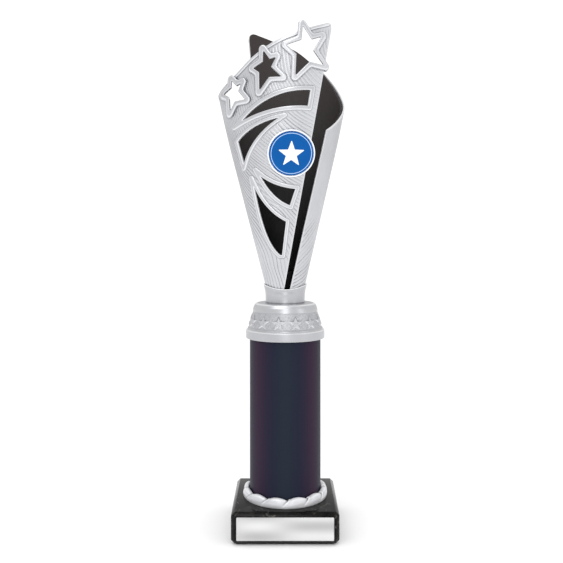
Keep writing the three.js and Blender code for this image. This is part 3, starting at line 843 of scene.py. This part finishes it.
# ---------------------------------------------------------------- stem socket
def stem_socket():
    """A ferrule whose rim dips at the front and the back, with a rounded lip."""
    segments, rim_top, dip = 192, 154.0, 2.8
    angles = all_round(segments)
    outside = [(12.45, 142.1), (12.5, 142.4), (12.45, 142.9), (12.5, 144.8), (12.55, 146.7), (12.7, 148.6),
               (12.95, 150.0), (13.2, 151.2), (13.5, 152.4), (13.72, 153.3), (13.9, 153.7), (13.86, 153.9),
               (13.65, 154.0), (13.35, 153.97), (13.12, 153.85), (13.03, 153.6), (13.0, 153.0)]
    inner = [(12.6, 150.0), (11.7, 146.5), (11.2, 146.5), (3.4, 146.5), (3.4, 142.1)]
    rows = []
    for r, z in outside + inner:
        share = np.clip((z - 142.9) / (rim_top - 142.9), 0, 1)
        if z <= 146.5:
            share = share * 0.6 if (r, z) in outside else 0
        fall = dip * np.cos(angles) ** 2 * share
        radius = r - (0.7 * fall / dip if z > 150 else 0)
        # painted highlight along the rim, painted shade at the foot
        painted_tone = np.full(segments, 0.9 if z > 153.5 else -0.5 if z < 142.5 else 0.0)
        rows.append(around(radius, angles, z - fall, painted_tone))
    return skin(rows, closed_across=True)


# ---------------------------------------------------------------- outlines of the cup
TOP_EDGE = np.vstack([[(-42.5, 272)], spline([(-42.5, 272), (-30, 280), (-19.5, 288.5), (-7.5, 296), (7, 302),
                                              (24.2, 307.9)], 24)])
PANEL_CORNER = (27.0, 304)
CORNER = curve([(24.2, 307.9), (27.5, 309), PANEL_CORNER], 12)
BACK_EDGE = np.vstack([
    [(-42.5, 272)],
    curve([(-42.5, 272), (-39, 261.5), (-31.5, 260), (-27.5, 270)], 40),
    curve([(-27.5, 270), (-23.5, 280), (-23.5, 300), (-25.8, 320)], 60),
    curve([(-25.8, 320), (-26, 326), (-20.5, 324.2)], 14),
    spline([(-20.5, 324.2), (-9, 320.5), (9, 312.5), (26.5, 296)], 30),
])
LIP_CORNER = (25.4, 249)
PANEL_FOOT, LIP_FOOT = -1.5, 1.7  # x of the slit's two sides, a millimetre below the cup
# The free edge from the back's slope down round the right side to the lip's corner: turn angle and height.
CURL = spline([(142.7, 296), (133, 289.2), (119, 280.1), (106, 272.8), (92, 266.6), (80, 261.5), (70, 257.3),
               (58, 252.6), (47.7, 249)], 12)


def smooth(t):
    t = np.clip(t, 0, 1)
    return t * t * (3 - 2 * t)


def bell(distance, width):
    return np.exp(-((distance / width) ** 2))


def straight_x(z, bottom_x, top_x, top_z):
    """x on a line that runs up from a millimetre below the cup."""
    start = CUP_BOTTOM - 1
    return bottom_x + (top_x - bottom_x) * (z - start) / (top_z - start)


def without_repeats(loop, gap=0.12):
    kept = [loop[0]]
    for p in loop[1:]:
        if np.hypot(*(p - kept[-1])) > gap:
            kept.append(p)
    if np.hypot(*(kept[-1] - kept[0])) < gap:
        kept.pop()
    return np.array(kept)


def anticlockwise(loop):
    ahead = np.roll(loop, -1, axis=0)
    area = (loop[:, 0] * ahead[:, 1] - loop[:, 1] * ahead[:, 0]).sum() / 2
    return loop[::-1] if area < 0 else loop


def closed_below(parts, first, last, count, step):
    """The parts of an outline, laid flat, closed along the cup's lower edge between two turn angles."""
    turns = np.linspace(first, last, count)[1:-1]
    parts.append(laid_flat(turns, np.full(turns.shape, CUP_BOTTOM)))
    return anticlockwise(evenly(without_repeats(np.vstack(parts)), step))


def shell_outline():
    """The silver sheet's outline, laid flat: up the panel, over the top, round the back, down the lip."""
    rises = np.linspace(CUP_BOTTOM, PANEL_CORNER[1], 380)
    edge = np.stack([straight_x(rises, PANEL_FOOT, *PANEL_CORNER), rises], 1)
    top = np.vstack([CORNER[::-1], TOP_EDGE[::-1]])
    falls = np.linspace(LIP_CORNER[1], CUP_BOTTOM, 240)
    lip = np.stack([straight_x(falls, LIP_FOOT, *LIP_CORNER), falls], 1)
    edge, top, back, lip = [np.stack([turn_at(line[:, 0], line[:, 1], side), line[:, 1]], 1) for line, side in
                            ((edge, "panel"), (top, "panel"), (BACK_EDGE, "back"), (lip, "wrap"))]
    parts = [laid_flat(line[:, 0], line[:, 1]) for line in (edge, top, back, CURL[:-4], lip)]
    return closed_below(parts, lip[-1, 0], edge[0, 0], 170, 0.5)


def liner_outline():
    """The black lining's outline, laid flat: up its left edge, along the back and the curl, down the lip."""
    middle = -SHELL_THICKNESS - GAP - LINER_THICKNESS / 2
    turn, z = CURL[:, 0], CURL[:, 1] - LINER_DROP * smooth((CURL[0, 0] + 4 - CURL[:, 0]) / 12)
    curl_x = (cup_radius(turn, z) + middle) * np.sin(np.radians(turn))
    keep = curl_x > straight_x(z, LIP_FOOT, *LIP_CORNER) + LINER_INSET
    curl = np.stack([turn[keep], z[keep]], 1)
    back = BACK_EDGE * [LINER_SHRINK, 1]
    back_turn = turn_at(back[:, 0], back[:, 1], "back", middle)
    keep = (back_turn < LINER_END_TURN) & (back_turn > CURL[0, 0] + 0.8)
    falls = np.linspace(curl[-1, 1], CUP_BOTTOM, 180)
    lip = straight_x(falls, LIP_FOOT, *LIP_CORNER) + LINER_INSET
    lip_turn = turn_at(lip, falls, "wrap", middle)
    left = np.linspace(CUP_BOTTOM, back[keep][0, 1], 130)
    parts = [
        laid_flat(np.full(left.shape, LINER_END_TURN), left),
        laid_flat(back_turn[keep], back[keep][:, 1]),
        laid_flat(curl[:, 0], curl[:, 1]),
        laid_flat(lip_turn, falls),
    ]
    return closed_below(parts, lip_turn[-1], LINER_END_TURN, 110, 0.7)


CUTOUTS = [
    (np.vstack([curve([(-25.2, 253.8), (-9, 269.5), (14.7, 269.7)], 60), [(13.2, 260.9)],
                curve([(13.2, 260.9), (-6, 261.4), (-25.2, 253.8)], 60)]), 2.6),
    (np.vstack([curve([(-28.7, 241.8), (-20, 250.5), (-4.2, 253.7)], 40),
                curve([(-4.2, 253.7), (-20.5, 243.5), (-25, 228.5)], 50), [(-28.7, 241.8)]]), 2.1),
    (np.vstack([curve([(-14.6, 220.4), (-6.5, 213.8), (5.9, 212.7)], 36), [(2.7, 203.2)],
                curve([(2.7, 203.2), (-7.5, 207), (-14.6, 220.4)], 40)]), 2.4),
    (np.vstack([curve([(-18.7, 214.2), (-11.5, 199), (0.4, 193.2)], 50), [(-2, 172.8)], [(-2.9, 172.8)],
                curve([(-2.9, 172.8), (-11, 179.5), (-15.2, 195), (-18.7, 214.2)], 60)]), 2.1),
]


def grown(loop, distance, tip):
    """An outline moved out, with its tips rounded; its notches stay sharp and its smooth parts smooth."""
    p = anticlockwise(np.array(loop, float))
    out = []
    for i, (corner, centre) in enumerate(zip(mitred(p, distance), mitred(p, distance - tip))):
        a, b = unit(p[i] - p[i - 1]), unit(p[(i + 1) % len(p)] - p[i])
        turn = turn_between(a, b)
        if turn > 0.25:
            out += arc(centre, tip, math.atan2(-a[0], a[1]), turn, max(4, math.ceil(turn * tip / 0.3)))
        else:
            out.append(corner)
    return np.array(out)


# ---------------------------------------------------------------- wood-grain lines on the cup
# Where, which way and how far apart the lines run on each side: x, height, angle from level, spacing.
GRAIN = {
    "panel": [(-30, 256, 92, 1.7), (-21.5, 272, 99, 1.6), (-4, 293, 94, 1.7), (1.3, 284, 90, 1.7),
              (-4, 271, 108, 1.9), (13.8, 278, 140, 2.0), (18, 266, 168, 2.0), (21.6, 304, 84, 1.8),
              (13, 256, 160, 2.1), (6.6, 252, 128, 2.1), (-0.6, 250, 116, 2.0), (-6, 247, 120, 1.9),
              (-14, 236, 145, 1.8), (-14.5, 227, 155, 1.8), (-5, 217, 160, 2.0), (-24, 211, 150, 1.9),
              (-22, 204, 152, 1.9), (-15.6, 190, 140, 2.3), (-13, 180, 128, 2.4), (-11, 172, 114, 2.4),
              (-10, 164, 104, 2.2), (-8.5, 154, 99, 2.1), (-6.3, 160, 98, 2.2), (-3, 154, 94, 2.1),
              (-3, 165, 98, 2.2), (0.5, 160, 92, 2.2), (-18, 197, 146, 2.0), (-5.3, 203, 150, 2.1),
              (3.6, 196, 135, 2.2), (4, 187, 118, 2.3), (1.5, 170.5, 102, 2.4), (18, 235, 150, 2.1),
              (-33, 235, 140, 2.0)],
    "wrap": [(4, 157, 12, 2.0), (8.6, 160, 32, 2.1), (6, 167, 22, 2.2), (12, 168, 44, 2.2),
             (9, 175, 40, 2.3), (15, 182, 55, 2.4), (20, 205, 76, 3.0), (29, 240, 80, 3.2)],
    "back": [(20, 250, 85, 3.0), (0, 300, 92, 2.6), (0, 200, 84, 2.6), (-20, 250, 100, 2.4),
             (-15, 200, 118, 2.3)],
}


class Grain:
    """A phase whose level lines, one a turn, follow the directions above as well as one function can."""

    def __init__(self, cell=2.0):
        here, pull = [], []
        for side, (x, z, angle, spacing) in [(side, row) for side, rows in GRAIN.items() for row in rows]:
            turn = turn_at(np.array([x]), np.array([z]), side)
            flat = laid_flat(turn, np.array([z]))[0]
            up = unit(flat)
            right = np.array([up[1], -up[0]])
            a = math.radians(angle + 90)
            here.append(flat)
            pull.append((math.cos(a) * right + math.sin(a) * up) * 2 * math.pi / spacing)
        here, pull = np.array(here), np.array(pull)
        self.cell, self.low = cell, np.array([-175.0, 25.0])
        nx, ny = 176, 106
        x = self.low[0] + cell * np.arange(nx)
        y = self.low[1] + cell * np.arange(ny)
        gx, gy = np.meshgrid(x, y, indexing="ij")
        weight = 1 / ((gx[..., None] - here[:, 0]) ** 2 + (gy[..., None] - here[:, 1]) ** 2 + 9) ** 1.6
        field = (weight @ pull) / weight.sum(-1)[..., None]
        self.phase = self.solved(field, cell) + 1.3 * np.sin(0.33 * gx + 2.1 * np.sin(0.11 * gy))
        self.strength = np.random.default_rng(7).uniform(0.45, 1.15, 512)

    @staticmethod
    def solved(field, cell):
        """Least squares for a function with this gradient, by conjugate gradients."""
        ax = (field[1:, :, 0] + field[:-1, :, 0]) / 2 * cell
        ay = (field[:, 1:, 1] + field[:, :-1, 1]) / 2 * cell

        def gather(dx, dy):
            out = np.zeros(field.shape[:2])
            out[1:] += dx
            out[:-1] -= dx
            out[:, 1:] += dy
            out[:, :-1] -= dy
            return out

        def apply(f):
            return gather(f[1:] - f[:-1], f[:, 1:] - f[:, :-1])

        f = np.zeros(field.shape[:2])
        rest = gather(ax, ay)
        step = rest.copy()
        power = (rest * rest).sum()
        for _ in range(900):
            image = apply(step)
            share = power / (step * image).sum()
            f += share * step
            rest -= share * image
            fresh = (rest * rest).sum()
            if fresh < 1e-10:
                break
            step = rest + step * fresh / power
            power = fresh
        return f

    def __call__(self, flat):
        g = (flat - self.low) / self.cell
        i = np.clip(np.floor(g).astype(int), 0, np.array(self.phase.shape) - 2)
        s, t = np.clip(g - i, 0, 1).T
        (i, j), p = i.T, self.phase
        low, high = p[i, j] * (1 - s) + p[i + 1, j] * s, p[i, j + 1] * (1 - s) + p[i + 1, j + 1] * s
        return low * (1 - t) + high * t

    def slope(self, flat, step=0.3):
        return np.stack([self(flat + move) - self(flat - move) for move in np.eye(2) * step], 1) / 2 / step

    def from_line(self, flat):
        """Distance to the nearest line."""
        away = np.abs((self(flat) + math.pi) % (2 * math.pi) - math.pi)
        return away / np.maximum(np.hypot(*self.slope(flat).T), 0.8)

    def weight(self, flat):
        """How strong the nearest line is: no two are cut equally deep."""
        return self.strength[np.round(self(flat) / (2 * math.pi)).astype(int) % len(self.strength)]

    def lines(self, low, high, step, wanted):
        """Points along the lines in a box, with their unit normals."""
        x, y = np.arange(low[0], high[0], step), np.arange(low[1], high[1], step)
        flat = np.stack(np.meshgrid(x, y, indexing="ij"), -1)
        turns = self(flat.reshape(-1, 2)).reshape(flat.shape[:2]) / (2 * math.pi)
        found = []
        for axis in (0, 1):
            here, there = (turns[:-1], turns[1:]) if axis == 0 else (turns[:, :-1], turns[:, 1:])
            crossed = np.floor(here) != np.floor(there)
            a, b = here[crossed], there[crossed]
            share = (np.maximum(np.floor(a), np.floor(b)) - a) / (b - a)
            start = (flat[:-1] if axis == 0 else flat[:, :-1])[crossed]
            start[:, axis] += share * step
            found.append(start)
        found = np.vstack(found)
        found = found[wanted(found)]
        found = found[np.unique(np.round(found / (0.4 * step)), axis=0, return_index=True)[1]]
        slope = self.slope(found)
        return found, slope / np.hypot(*slope.T)[:, None]


# ---------------------------------------------------------------- the silver sheet
BORDER_HEIGHT, RIM_WIDTH, RIM_HEIGHT, EDGE_RADIUS = 0.75, 1.9, 0.5, 0.45
GROOVE_DEPTH, GROOVE_HALF_WIDTH, PILLOW = 0.24, 0.28, 0.045
PANEL_FROM, FRONT_FROM, WRAP_TO = 268.0, 272, 150  # turn angles
RIM_FROM, FRAMES_FROM = 268, 250  # heights


def silver_sheet():
    outline, top_edge = shell_outline(), evenly(TOP_EDGE, 0.4, closed=False)
    near_outline = Nearness(outline)
    holes, rows, borders = [], [], []
    for loop, width in CUTOUTS:
        hole = evenly(anticlockwise(without_repeats(loop, 0.05)), 0.45)
        border = evenly(grown(without_repeats(loop, 0.05), width, 1.3), 0.45)
        borders.append((border, hole, Nearness(border), Nearness(hole)))
        holes.append(hole)
        rows += [*all_beside(hole, (0.08, 0.2, 0.36, 0.6)), border]
        rows += all_beside(border, (-0.06, -0.16, -0.32, -0.55, -0.8, 0.12))
    rows += all_beside(top_edge, (1.2, 1.4, 1.58, 1.72, 1.82, 1.9, 2.05), closed=False)
    for points in STAR_OPENINGS.values():
        holes.append(evenly(rounded(mitred(points, 0.8), lambda outwards: 0.5), 0.45))

    def to_flat(points):
        return laid_flat(turn_at(points[:, 0], points[:, 1], "panel"), points[:, 1])

    holes = [to_flat(hole) for hole in holes]
    rows = [to_flat(row[np.abs(row[:, 0]) < 42]) for row in rows]
    rows += all_beside(outline[::-1], (0.06, 0.16, 0.3, 0.46))
    under_rows = all_beside(outline[::-1], (0.1, 0.28, 0.46), gap=0.8)
    for hole in holes[:len(CUTOUTS)]:
        under_rows += all_beside(hole, (0.5, 1.0, 1.5), gap=0.8)
    near_cutouts = [Nearness(hole) for hole in holes[:len(CUTOUTS)]]
    near_top = Nearness(TOP_EDGE, closed=False)
    near_frames = [Nearness(frame_outline(points)) for points in STAR_OPENINGS.values()]
    grain = Grain()

    def borders_and_rim(flat):
        """Height and painted light and shade of the raised borders and the top rim, and how far the grain
        fades beside them.
        """
        turn, z = rolled_up(flat)
        x = cup_radius(turn, z) * np.sin(np.radians(turn))
        face = np.stack([x, z], 1)
        front = np.where(turn > FRONT_FROM)[0]
        height, painted_tone, fade = np.zeros(len(flat)), np.zeros(len(flat)), np.ones(len(flat))
        for border, hole, near_border, near_hole in borders:
            low, high = border.min(0) - 2, border.max(0) + 2
            ids = front[((face[front] > low) & (face[front] < high)).all(1)]
            within = inside(face[ids], border)
            d = near_border(face[ids])
            fade[ids] = np.minimum(fade[ids], np.where(within, 0, smooth(d / 0.7)))
            # painted shade on the sheet just outside each border
            painted_tone[ids] -= np.where(within, 0, 0.5 * bell(d, 0.3))
            ids, d = ids[within], d[within]
            to_hole = near_hole(face[ids])
            raised = BORDER_HEIGHT - drop(d, BORDER_HEIGHT) - drop(to_hole, 0.55)
            height[ids] = np.maximum(height[ids], raised)
            # painted highlights along each border's outer and inner rounded edges, painted shade on its flat
            # middle
            painted_tone[ids] = (0.75 * bell(d - 0.42, 0.22) + 0.6 * bell(to_hole - 0.25, 0.22)
                         - 0.14 * smooth((d - 0.6) / 0.3) * smooth((to_hole - 0.45) / 0.3))
        ids = front[z[front] > RIM_FROM]
        d = near_top(face[ids])
        band = d < RIM_WIDTH
        begun = smooth((turn[ids] - FRONT_FROM) / 10)
        rise = begun * (RIM_HEIGHT - drop(RIM_WIDTH - d, RIM_HEIGHT))
        height[ids] = np.maximum(height[ids], np.where(band, rise, 0))
        # painted highlight on the rim's lower rounded edge, painted shade just below the rim
        painted_tone[ids] += begun * (0.7 * bell(d - RIM_WIDTH + 0.45, 0.25) - 0.5 * bell(d - RIM_WIDTH - 0.1, 0.25))
        fade[ids] = np.minimum(fade[ids], smooth((d - RIM_WIDTH - 0.5) / 1.6))
        ids = front[z[front] > FRAMES_FROM]
        # painted shade on the sheet round each star frame
        painted_tone[ids] -= 0.6 * bell(np.min([near(face[ids]) for near in near_frames], axis=0), 0.35)
        to_edge = near_outline(flat)
        curled = (turn < WRAP_TO) & (z > LIP_CORNER[1])
        # painted highlight along the sheet's own edges, brightest along the curl of the wrap
        bright = np.where(curled, 1.0, np.where(turn < WRAP_TO, 0.35, 0.6))
        painted_tone += bright * bell(to_edge, np.where(curled, 0.8, 0.45))
        return height - drop(to_edge, EDGE_RADIUS), painted_tone, fade * smooth((to_edge - 0.5) / 0.9)

    def top(flat):
        height, painted_tone, fade = borders_and_rim(flat)
        turn, z = rolled_up(flat)
        panel = 1.0 - 0.4 * smooth((z - 235) / 30) + 0.4 * smooth((325 - turn) / 15)
        panel = 0.4 + (panel - 0.4) * smooth((turn - PANEL_FROM) / 25)
        wrap = 0.2 + 0.8 * smooth((200 - z) / 15)
        depth = np.where(turn > PANEL_FROM, panel, np.where(turn < WRAP_TO, wrap, 0.4)) * fade
        groove = np.clip(1 - grain.from_line(flat) / GROOVE_HALF_WIDTH, 0, 1) * grain.weight(flat)
        height = height - 0.03 - depth * (GROOVE_DEPTH * groove + PILLOW * np.cos(grain(flat)))
        # painted shade in the grain's grooves
        return height, np.clip(painted_tone - 0.6 * depth * groove, -1, 1)

    def bottom(flat):
        """The inner face, chamfered towards the cut-outs, whose edges are thin."""
        to_hole = np.min([near(flat) for near in near_cutouts], axis=0)
        return -SHELL_THICKNESS + drop(near_outline(flat), EDGE_RADIUS) + 0.8 * (1 - smooth(to_hole / 1.5))

    for step, part in ((0.36, lambda turn: turn > PANEL_FROM), (0.8, lambda turn: turn <= PANEL_FROM)):
        points, normals = grain.lines(outline.min(0), outline.max(0), step,
                                      lambda p, part=part: part(rolled_up(p)[0]) & inside(p, outline))
        grooved = borders_and_rim(points)[2] > 0.05
        points, normals = points[grooved], normals[grooved]
        rows += [points, points + normals * GROOVE_HALF_WIDTH, points - normals * GROOVE_HALF_WIDTH]

    every = [outline, *holes]
    grid = np.vstack([grid_inside(every, FINE, lambda p: rolled_up(p)[0] > PANEL_FROM),
                      grid_inside(every, COARSE, lambda p: rolled_up(p)[0] <= PANEL_FROM)])
    under = grid_inside(every, 2.4)
    return solid_over(outline, holes, rows, grid, under_rows, under, on_sheet, top, bottom)


def frame_outline(points):
    loop = rounded(grown(points, 2.7, 2.35), lambda outwards: 0 if outwards else 1.5)
    return evenly(loop, 0.4)


def star_frame(points):
    """A raised frame round a star opening: rounded tips, filled notches, an inner wall that leans away."""
    middle = np.mean(points, axis=0)
    opening = evenly(rounded(points, lambda outwards: 0.3), 0.4)
    outline = frame_outline(points)
    near_outline, near_opening = Nearness(outline), Nearness(opening)
    rows = all_beside(outline[::-1], (0.05, 0.14, 0.3, 0.52, 0.8, 1.1))
    rows += all_beside(opening, (0.07, 0.18, 0.34, 0.55, 0.85))

    def top(p):
        outer, inner = near_outline(p), near_opening(p)
        # painted highlights along the frame's outer and inner rounded edges, the rest a touch darker
        painted_tone = 0.65 * bell(outer - 0.6, 0.32) + 0.2 * bell(inner - 0.3, 0.3) - 0.04
        return 2.1 - drop(outer, 1.1) - drop(inner, 0.8), painted_tone

    def leaning(p, offset):
        share = np.clip(1 - near_opening(p) / 1.5, 0, 1)[:, None]
        return on_front(p + (p - middle) * 0.09 * share, offset)

    return solid_over(outline, [opening], rows, grid_inside([outline, opening], 0.5), [],
                      grid_inside([outline, opening], 1.4), on_front, top,
                      lambda p: np.full(len(p), -SHELL_THICKNESS - 0.05), leaning)


# ---------------------------------------------------------------- centre insert
SEAT_X, SEAT_HEIGHT, SEAT_PROUD = 3.4, 233.8, 0.3


def onto_panel(solid):
    """Moves what is drawn along +Z onto the front panel, its +Z along the cup's outward normal there."""
    points, faces = solid
    turn = 360 + math.degrees(math.asin(SEAT_X / cup_radius(360, SEAT_HEIGHT)))
    radius = float(cup_radius(turn, SEAT_HEIGHT))
    lean = math.atan2(float(cup_radius(turn, SEAT_HEIGHT + 1) - cup_radius(turn, SEAT_HEIGHT - 1)), 2)
    tilt, spin = math.pi / 2 + lean, math.radians(turn)
    x, y, z = points[:, 0], points[:, 1], points[:, 2]
    y, z = y * math.cos(tilt) - z * math.sin(tilt), y * math.sin(tilt) + z * math.cos(tilt)
    y, z = y - radius, z + SEAT_HEIGHT
    x, y = x * math.cos(spin) - y * math.sin(spin), x * math.sin(spin) + y * math.cos(spin)
    return np.stack([x, y, z], 1), faces


def seat_boss():
    return onto_panel(turned([(0, -3.2), (10, -3.2), (10, SEAT_PROUD), (0, SEAT_PROUD)], 96))


def bezel():
    base = SEAT_PROUD
    profile = eased([(0, base), (14.15, base, 0.35), (14.15, base + 2.4, 0.75), (13.45, base + 2.4, 0.3),
                     (13.3, base + 1.1), (0, base + 1.1)], 0)
    return onto_panel(turned(profile, 160))


def disc():
    """A printed disc: blue, a pale ring line near its edge and a plain white star in the middle."""
    bottom, top = SEAT_PROUD + 1.1, SEAT_PROUD + 2.0
    profile = eased([(0, bottom), (13.1, bottom, 0.1), (13.1, top, 0.3), (12.2, top), (11.85, top), (6, top),
                     (0, top)], 0)
    points, faces = turned(profile, 160)
    middles = [np.hypot(*np.mean([points[i][:2] for i in face], 0)) for face in faces]
    heights = [np.mean([points[i][2] for i in face]) for face in faces]
    colours = [1 if 11.86 < r < 12.19 and h > bottom + 0.5 else 0 for r, h in zip(middles, heights)]
    outline = rounded([(x, y - 0.4) for x, y in star_points(8.4, 3.4)], lambda outwards: 0.3)
    loop = evenly(outline, 0.5)
    near = Nearness(loop)
    emblem = solid_over(
        loop, [], all_beside(loop[::-1], (0.05, 0.15)), grid_inside([loop], 1.0), [],
        grid_inside([loop], 2.5), lambda p, h: np.stack([p[:, 0], p[:, 1], h], 1),
        lambda p: (top + 0.09 - drop(near(p), 0.08), 0.0), lambda p: np.full(len(p), top - 0.1))
    return onto_panel(together((points, faces), emblem)), colours + [2] * len(emblem[1])


def black_liner():
    outline = liner_outline()
    near = Nearness(outline)
    outer = -SHELL_THICKNESS - GAP
    rows = all_beside(outline[::-1], (0.08, 0.2, 0.36, 0.55), gap=0.7)

    grid = grid_inside([outline], 1.6)
    return solid_over(outline, [], rows, grid, rows, grid, on_sheet,
                      lambda p: (outer - drop(near(p), 0.45), 0.0),
                      lambda p: outer - LINER_THICKNESS + drop(near(p), 0.45))


# ---------------------------------------------------------------- building every visible piece
stand_for(stone_block(), "base_block", "marble")
band, band_finishes = collar()
shell = together(silver_sheet(), seat_boss(), *[star_frame(points) for points in STAR_OPENINGS.values()])
face, inks = disc()
for name, solid, finishes, sharp, cad_node, slot, finish_of_face in (
        ("felt_pad", felt_pad(), [FELT], 35, "base_felt", "felt", None),
        ("silver_plate", name_plate(), [PLATE], 50, "name_plate", "plate", None),
        ("twisted_ring", twisted_ring(), [SATIN], 45, "base_ring", "silver_plastic", None),
        ("foil_wrap", foil_wrap(), [FOIL], 35, "column_film", "purple_film", None),
        ("star_collar", band, [GREYER, FROSTED], 50, "collar", "silver_plastic", band_finishes),
        ("stem_ferrule", stem_socket(), [GREYER], 60, "stem_socket", "silver_plastic", None),
        ("cup_liner", black_liner(), [BLACK], 60, "cone_liner", "black_plastic", None),
        ("cup_sheet", shell, [SILVER], 60, "cone_shell", "silver_plastic", None),
        ("disc_bezel", bezel(), [WHITE], 50, "insert_bezel", "white_plastic", None),
        ("printed_disc", face, [BLUE, PALE_BLUE, WHITE], 50, "insert_disc", "blue_print", inks)):
    stand_for(add_mesh(name, solid, finishes, sharp, finish_of_face), cad_node, slot)

HIDDEN = {"name_tape": TAPE, "base_washer": STEEL, "base_nut": STEEL, "centre_rod": STEEL, "tube_disc": TUBE,
          "column_tube": TUBE, "cone_foot": MATT_BLACK, "foot_washer": STEEL, "foot_nut": STEEL}
for cad_node, finish in HIDDEN.items():
    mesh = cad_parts[cad_node].data
    mesh.materials.clear()
    mesh.materials.append(finish)


# ---------------------------------------------------------------- stage, light and camera
def backdrop():
    points, faces = skin([[(-3000, -2500, 0), (3000, -2500, 0)], [(-3000, 3000, 0), (3000, 3000, 0)]],
                         closed_along=False)
    floor = add_mesh("floor", (points, faces), [])
    paint, _, shader = new_material("floor_paint")
    shader.inputs["Base Color"].default_value = (0.93, 0.93, 0.93, 1)
    shader.inputs["Roughness"].default_value = 0.9
    shader.inputs["Specular IOR Level"].default_value = 0
    floor.data.materials.append(paint)


def area_light(name, place, size, power, target=(0, 0, 0.2)):
    data = bpy.data.lights.new(name, "AREA")
    data.shape = "RECTANGLE"
    data.size, data.size_y = size
    data.energy = power
    lamp = bpy.data.objects.new(name, data)
    lamp.location = place
    lamp.rotation_euler = (Vector(target) - Vector(place)).to_track_quat("-Z", "Y").to_euler()
    bpy.context.scene.collection.objects.link(lamp)


def studio():
    world = bpy.data.worlds.new("studio")
    bpy.context.scene.world = world
    world.use_nodes = True
    tree = world.node_tree
    tree.nodes.clear()
    glossy = signal(tree, "ShaderNodeLightPath", output="Is Glossy Ray")
    even, mirrored = [signal(tree, "ShaderNodeBackground", Color=(1, 1, 1, 1), Strength=strength)
                      for strength in (1.12, 0.75)]
    both = signal(tree, "ShaderNodeMixShader", i0=glossy, i1=even, i2=mirrored)
    node(tree, "ShaderNodeOutputWorld", i0=both)
    area_light("front", (0.0, -0.95, 0.42), (0.3, 0.7), 1.2)
    area_light("fill", (0.8, -0.5, 0.5), (0.3, 0.8), 0.5)
    area_light("key", (-0.25, -0.55, 0.95), (0.8, 0.35), 1.7)


def camera():
    data = bpy.data.cameras.new("camera")
    data.sensor_width, data.lens = 36.0, 47.36
    data.shift_x, data.shift_y = -0.00657, -0.0861
    data.clip_start = 0.01
    made = bpy.data.objects.new("camera", data)
    made.location = (0, -0.4736, 0.1863)
    made.rotation_euler = (math.pi / 2, 0, 0)
    bpy.context.scene.collection.objects.link(made)
    bpy.context.scene.camera = made


backdrop()
studio()
camera()
bpy.context.scene.view_settings.view_transform = "Standard"
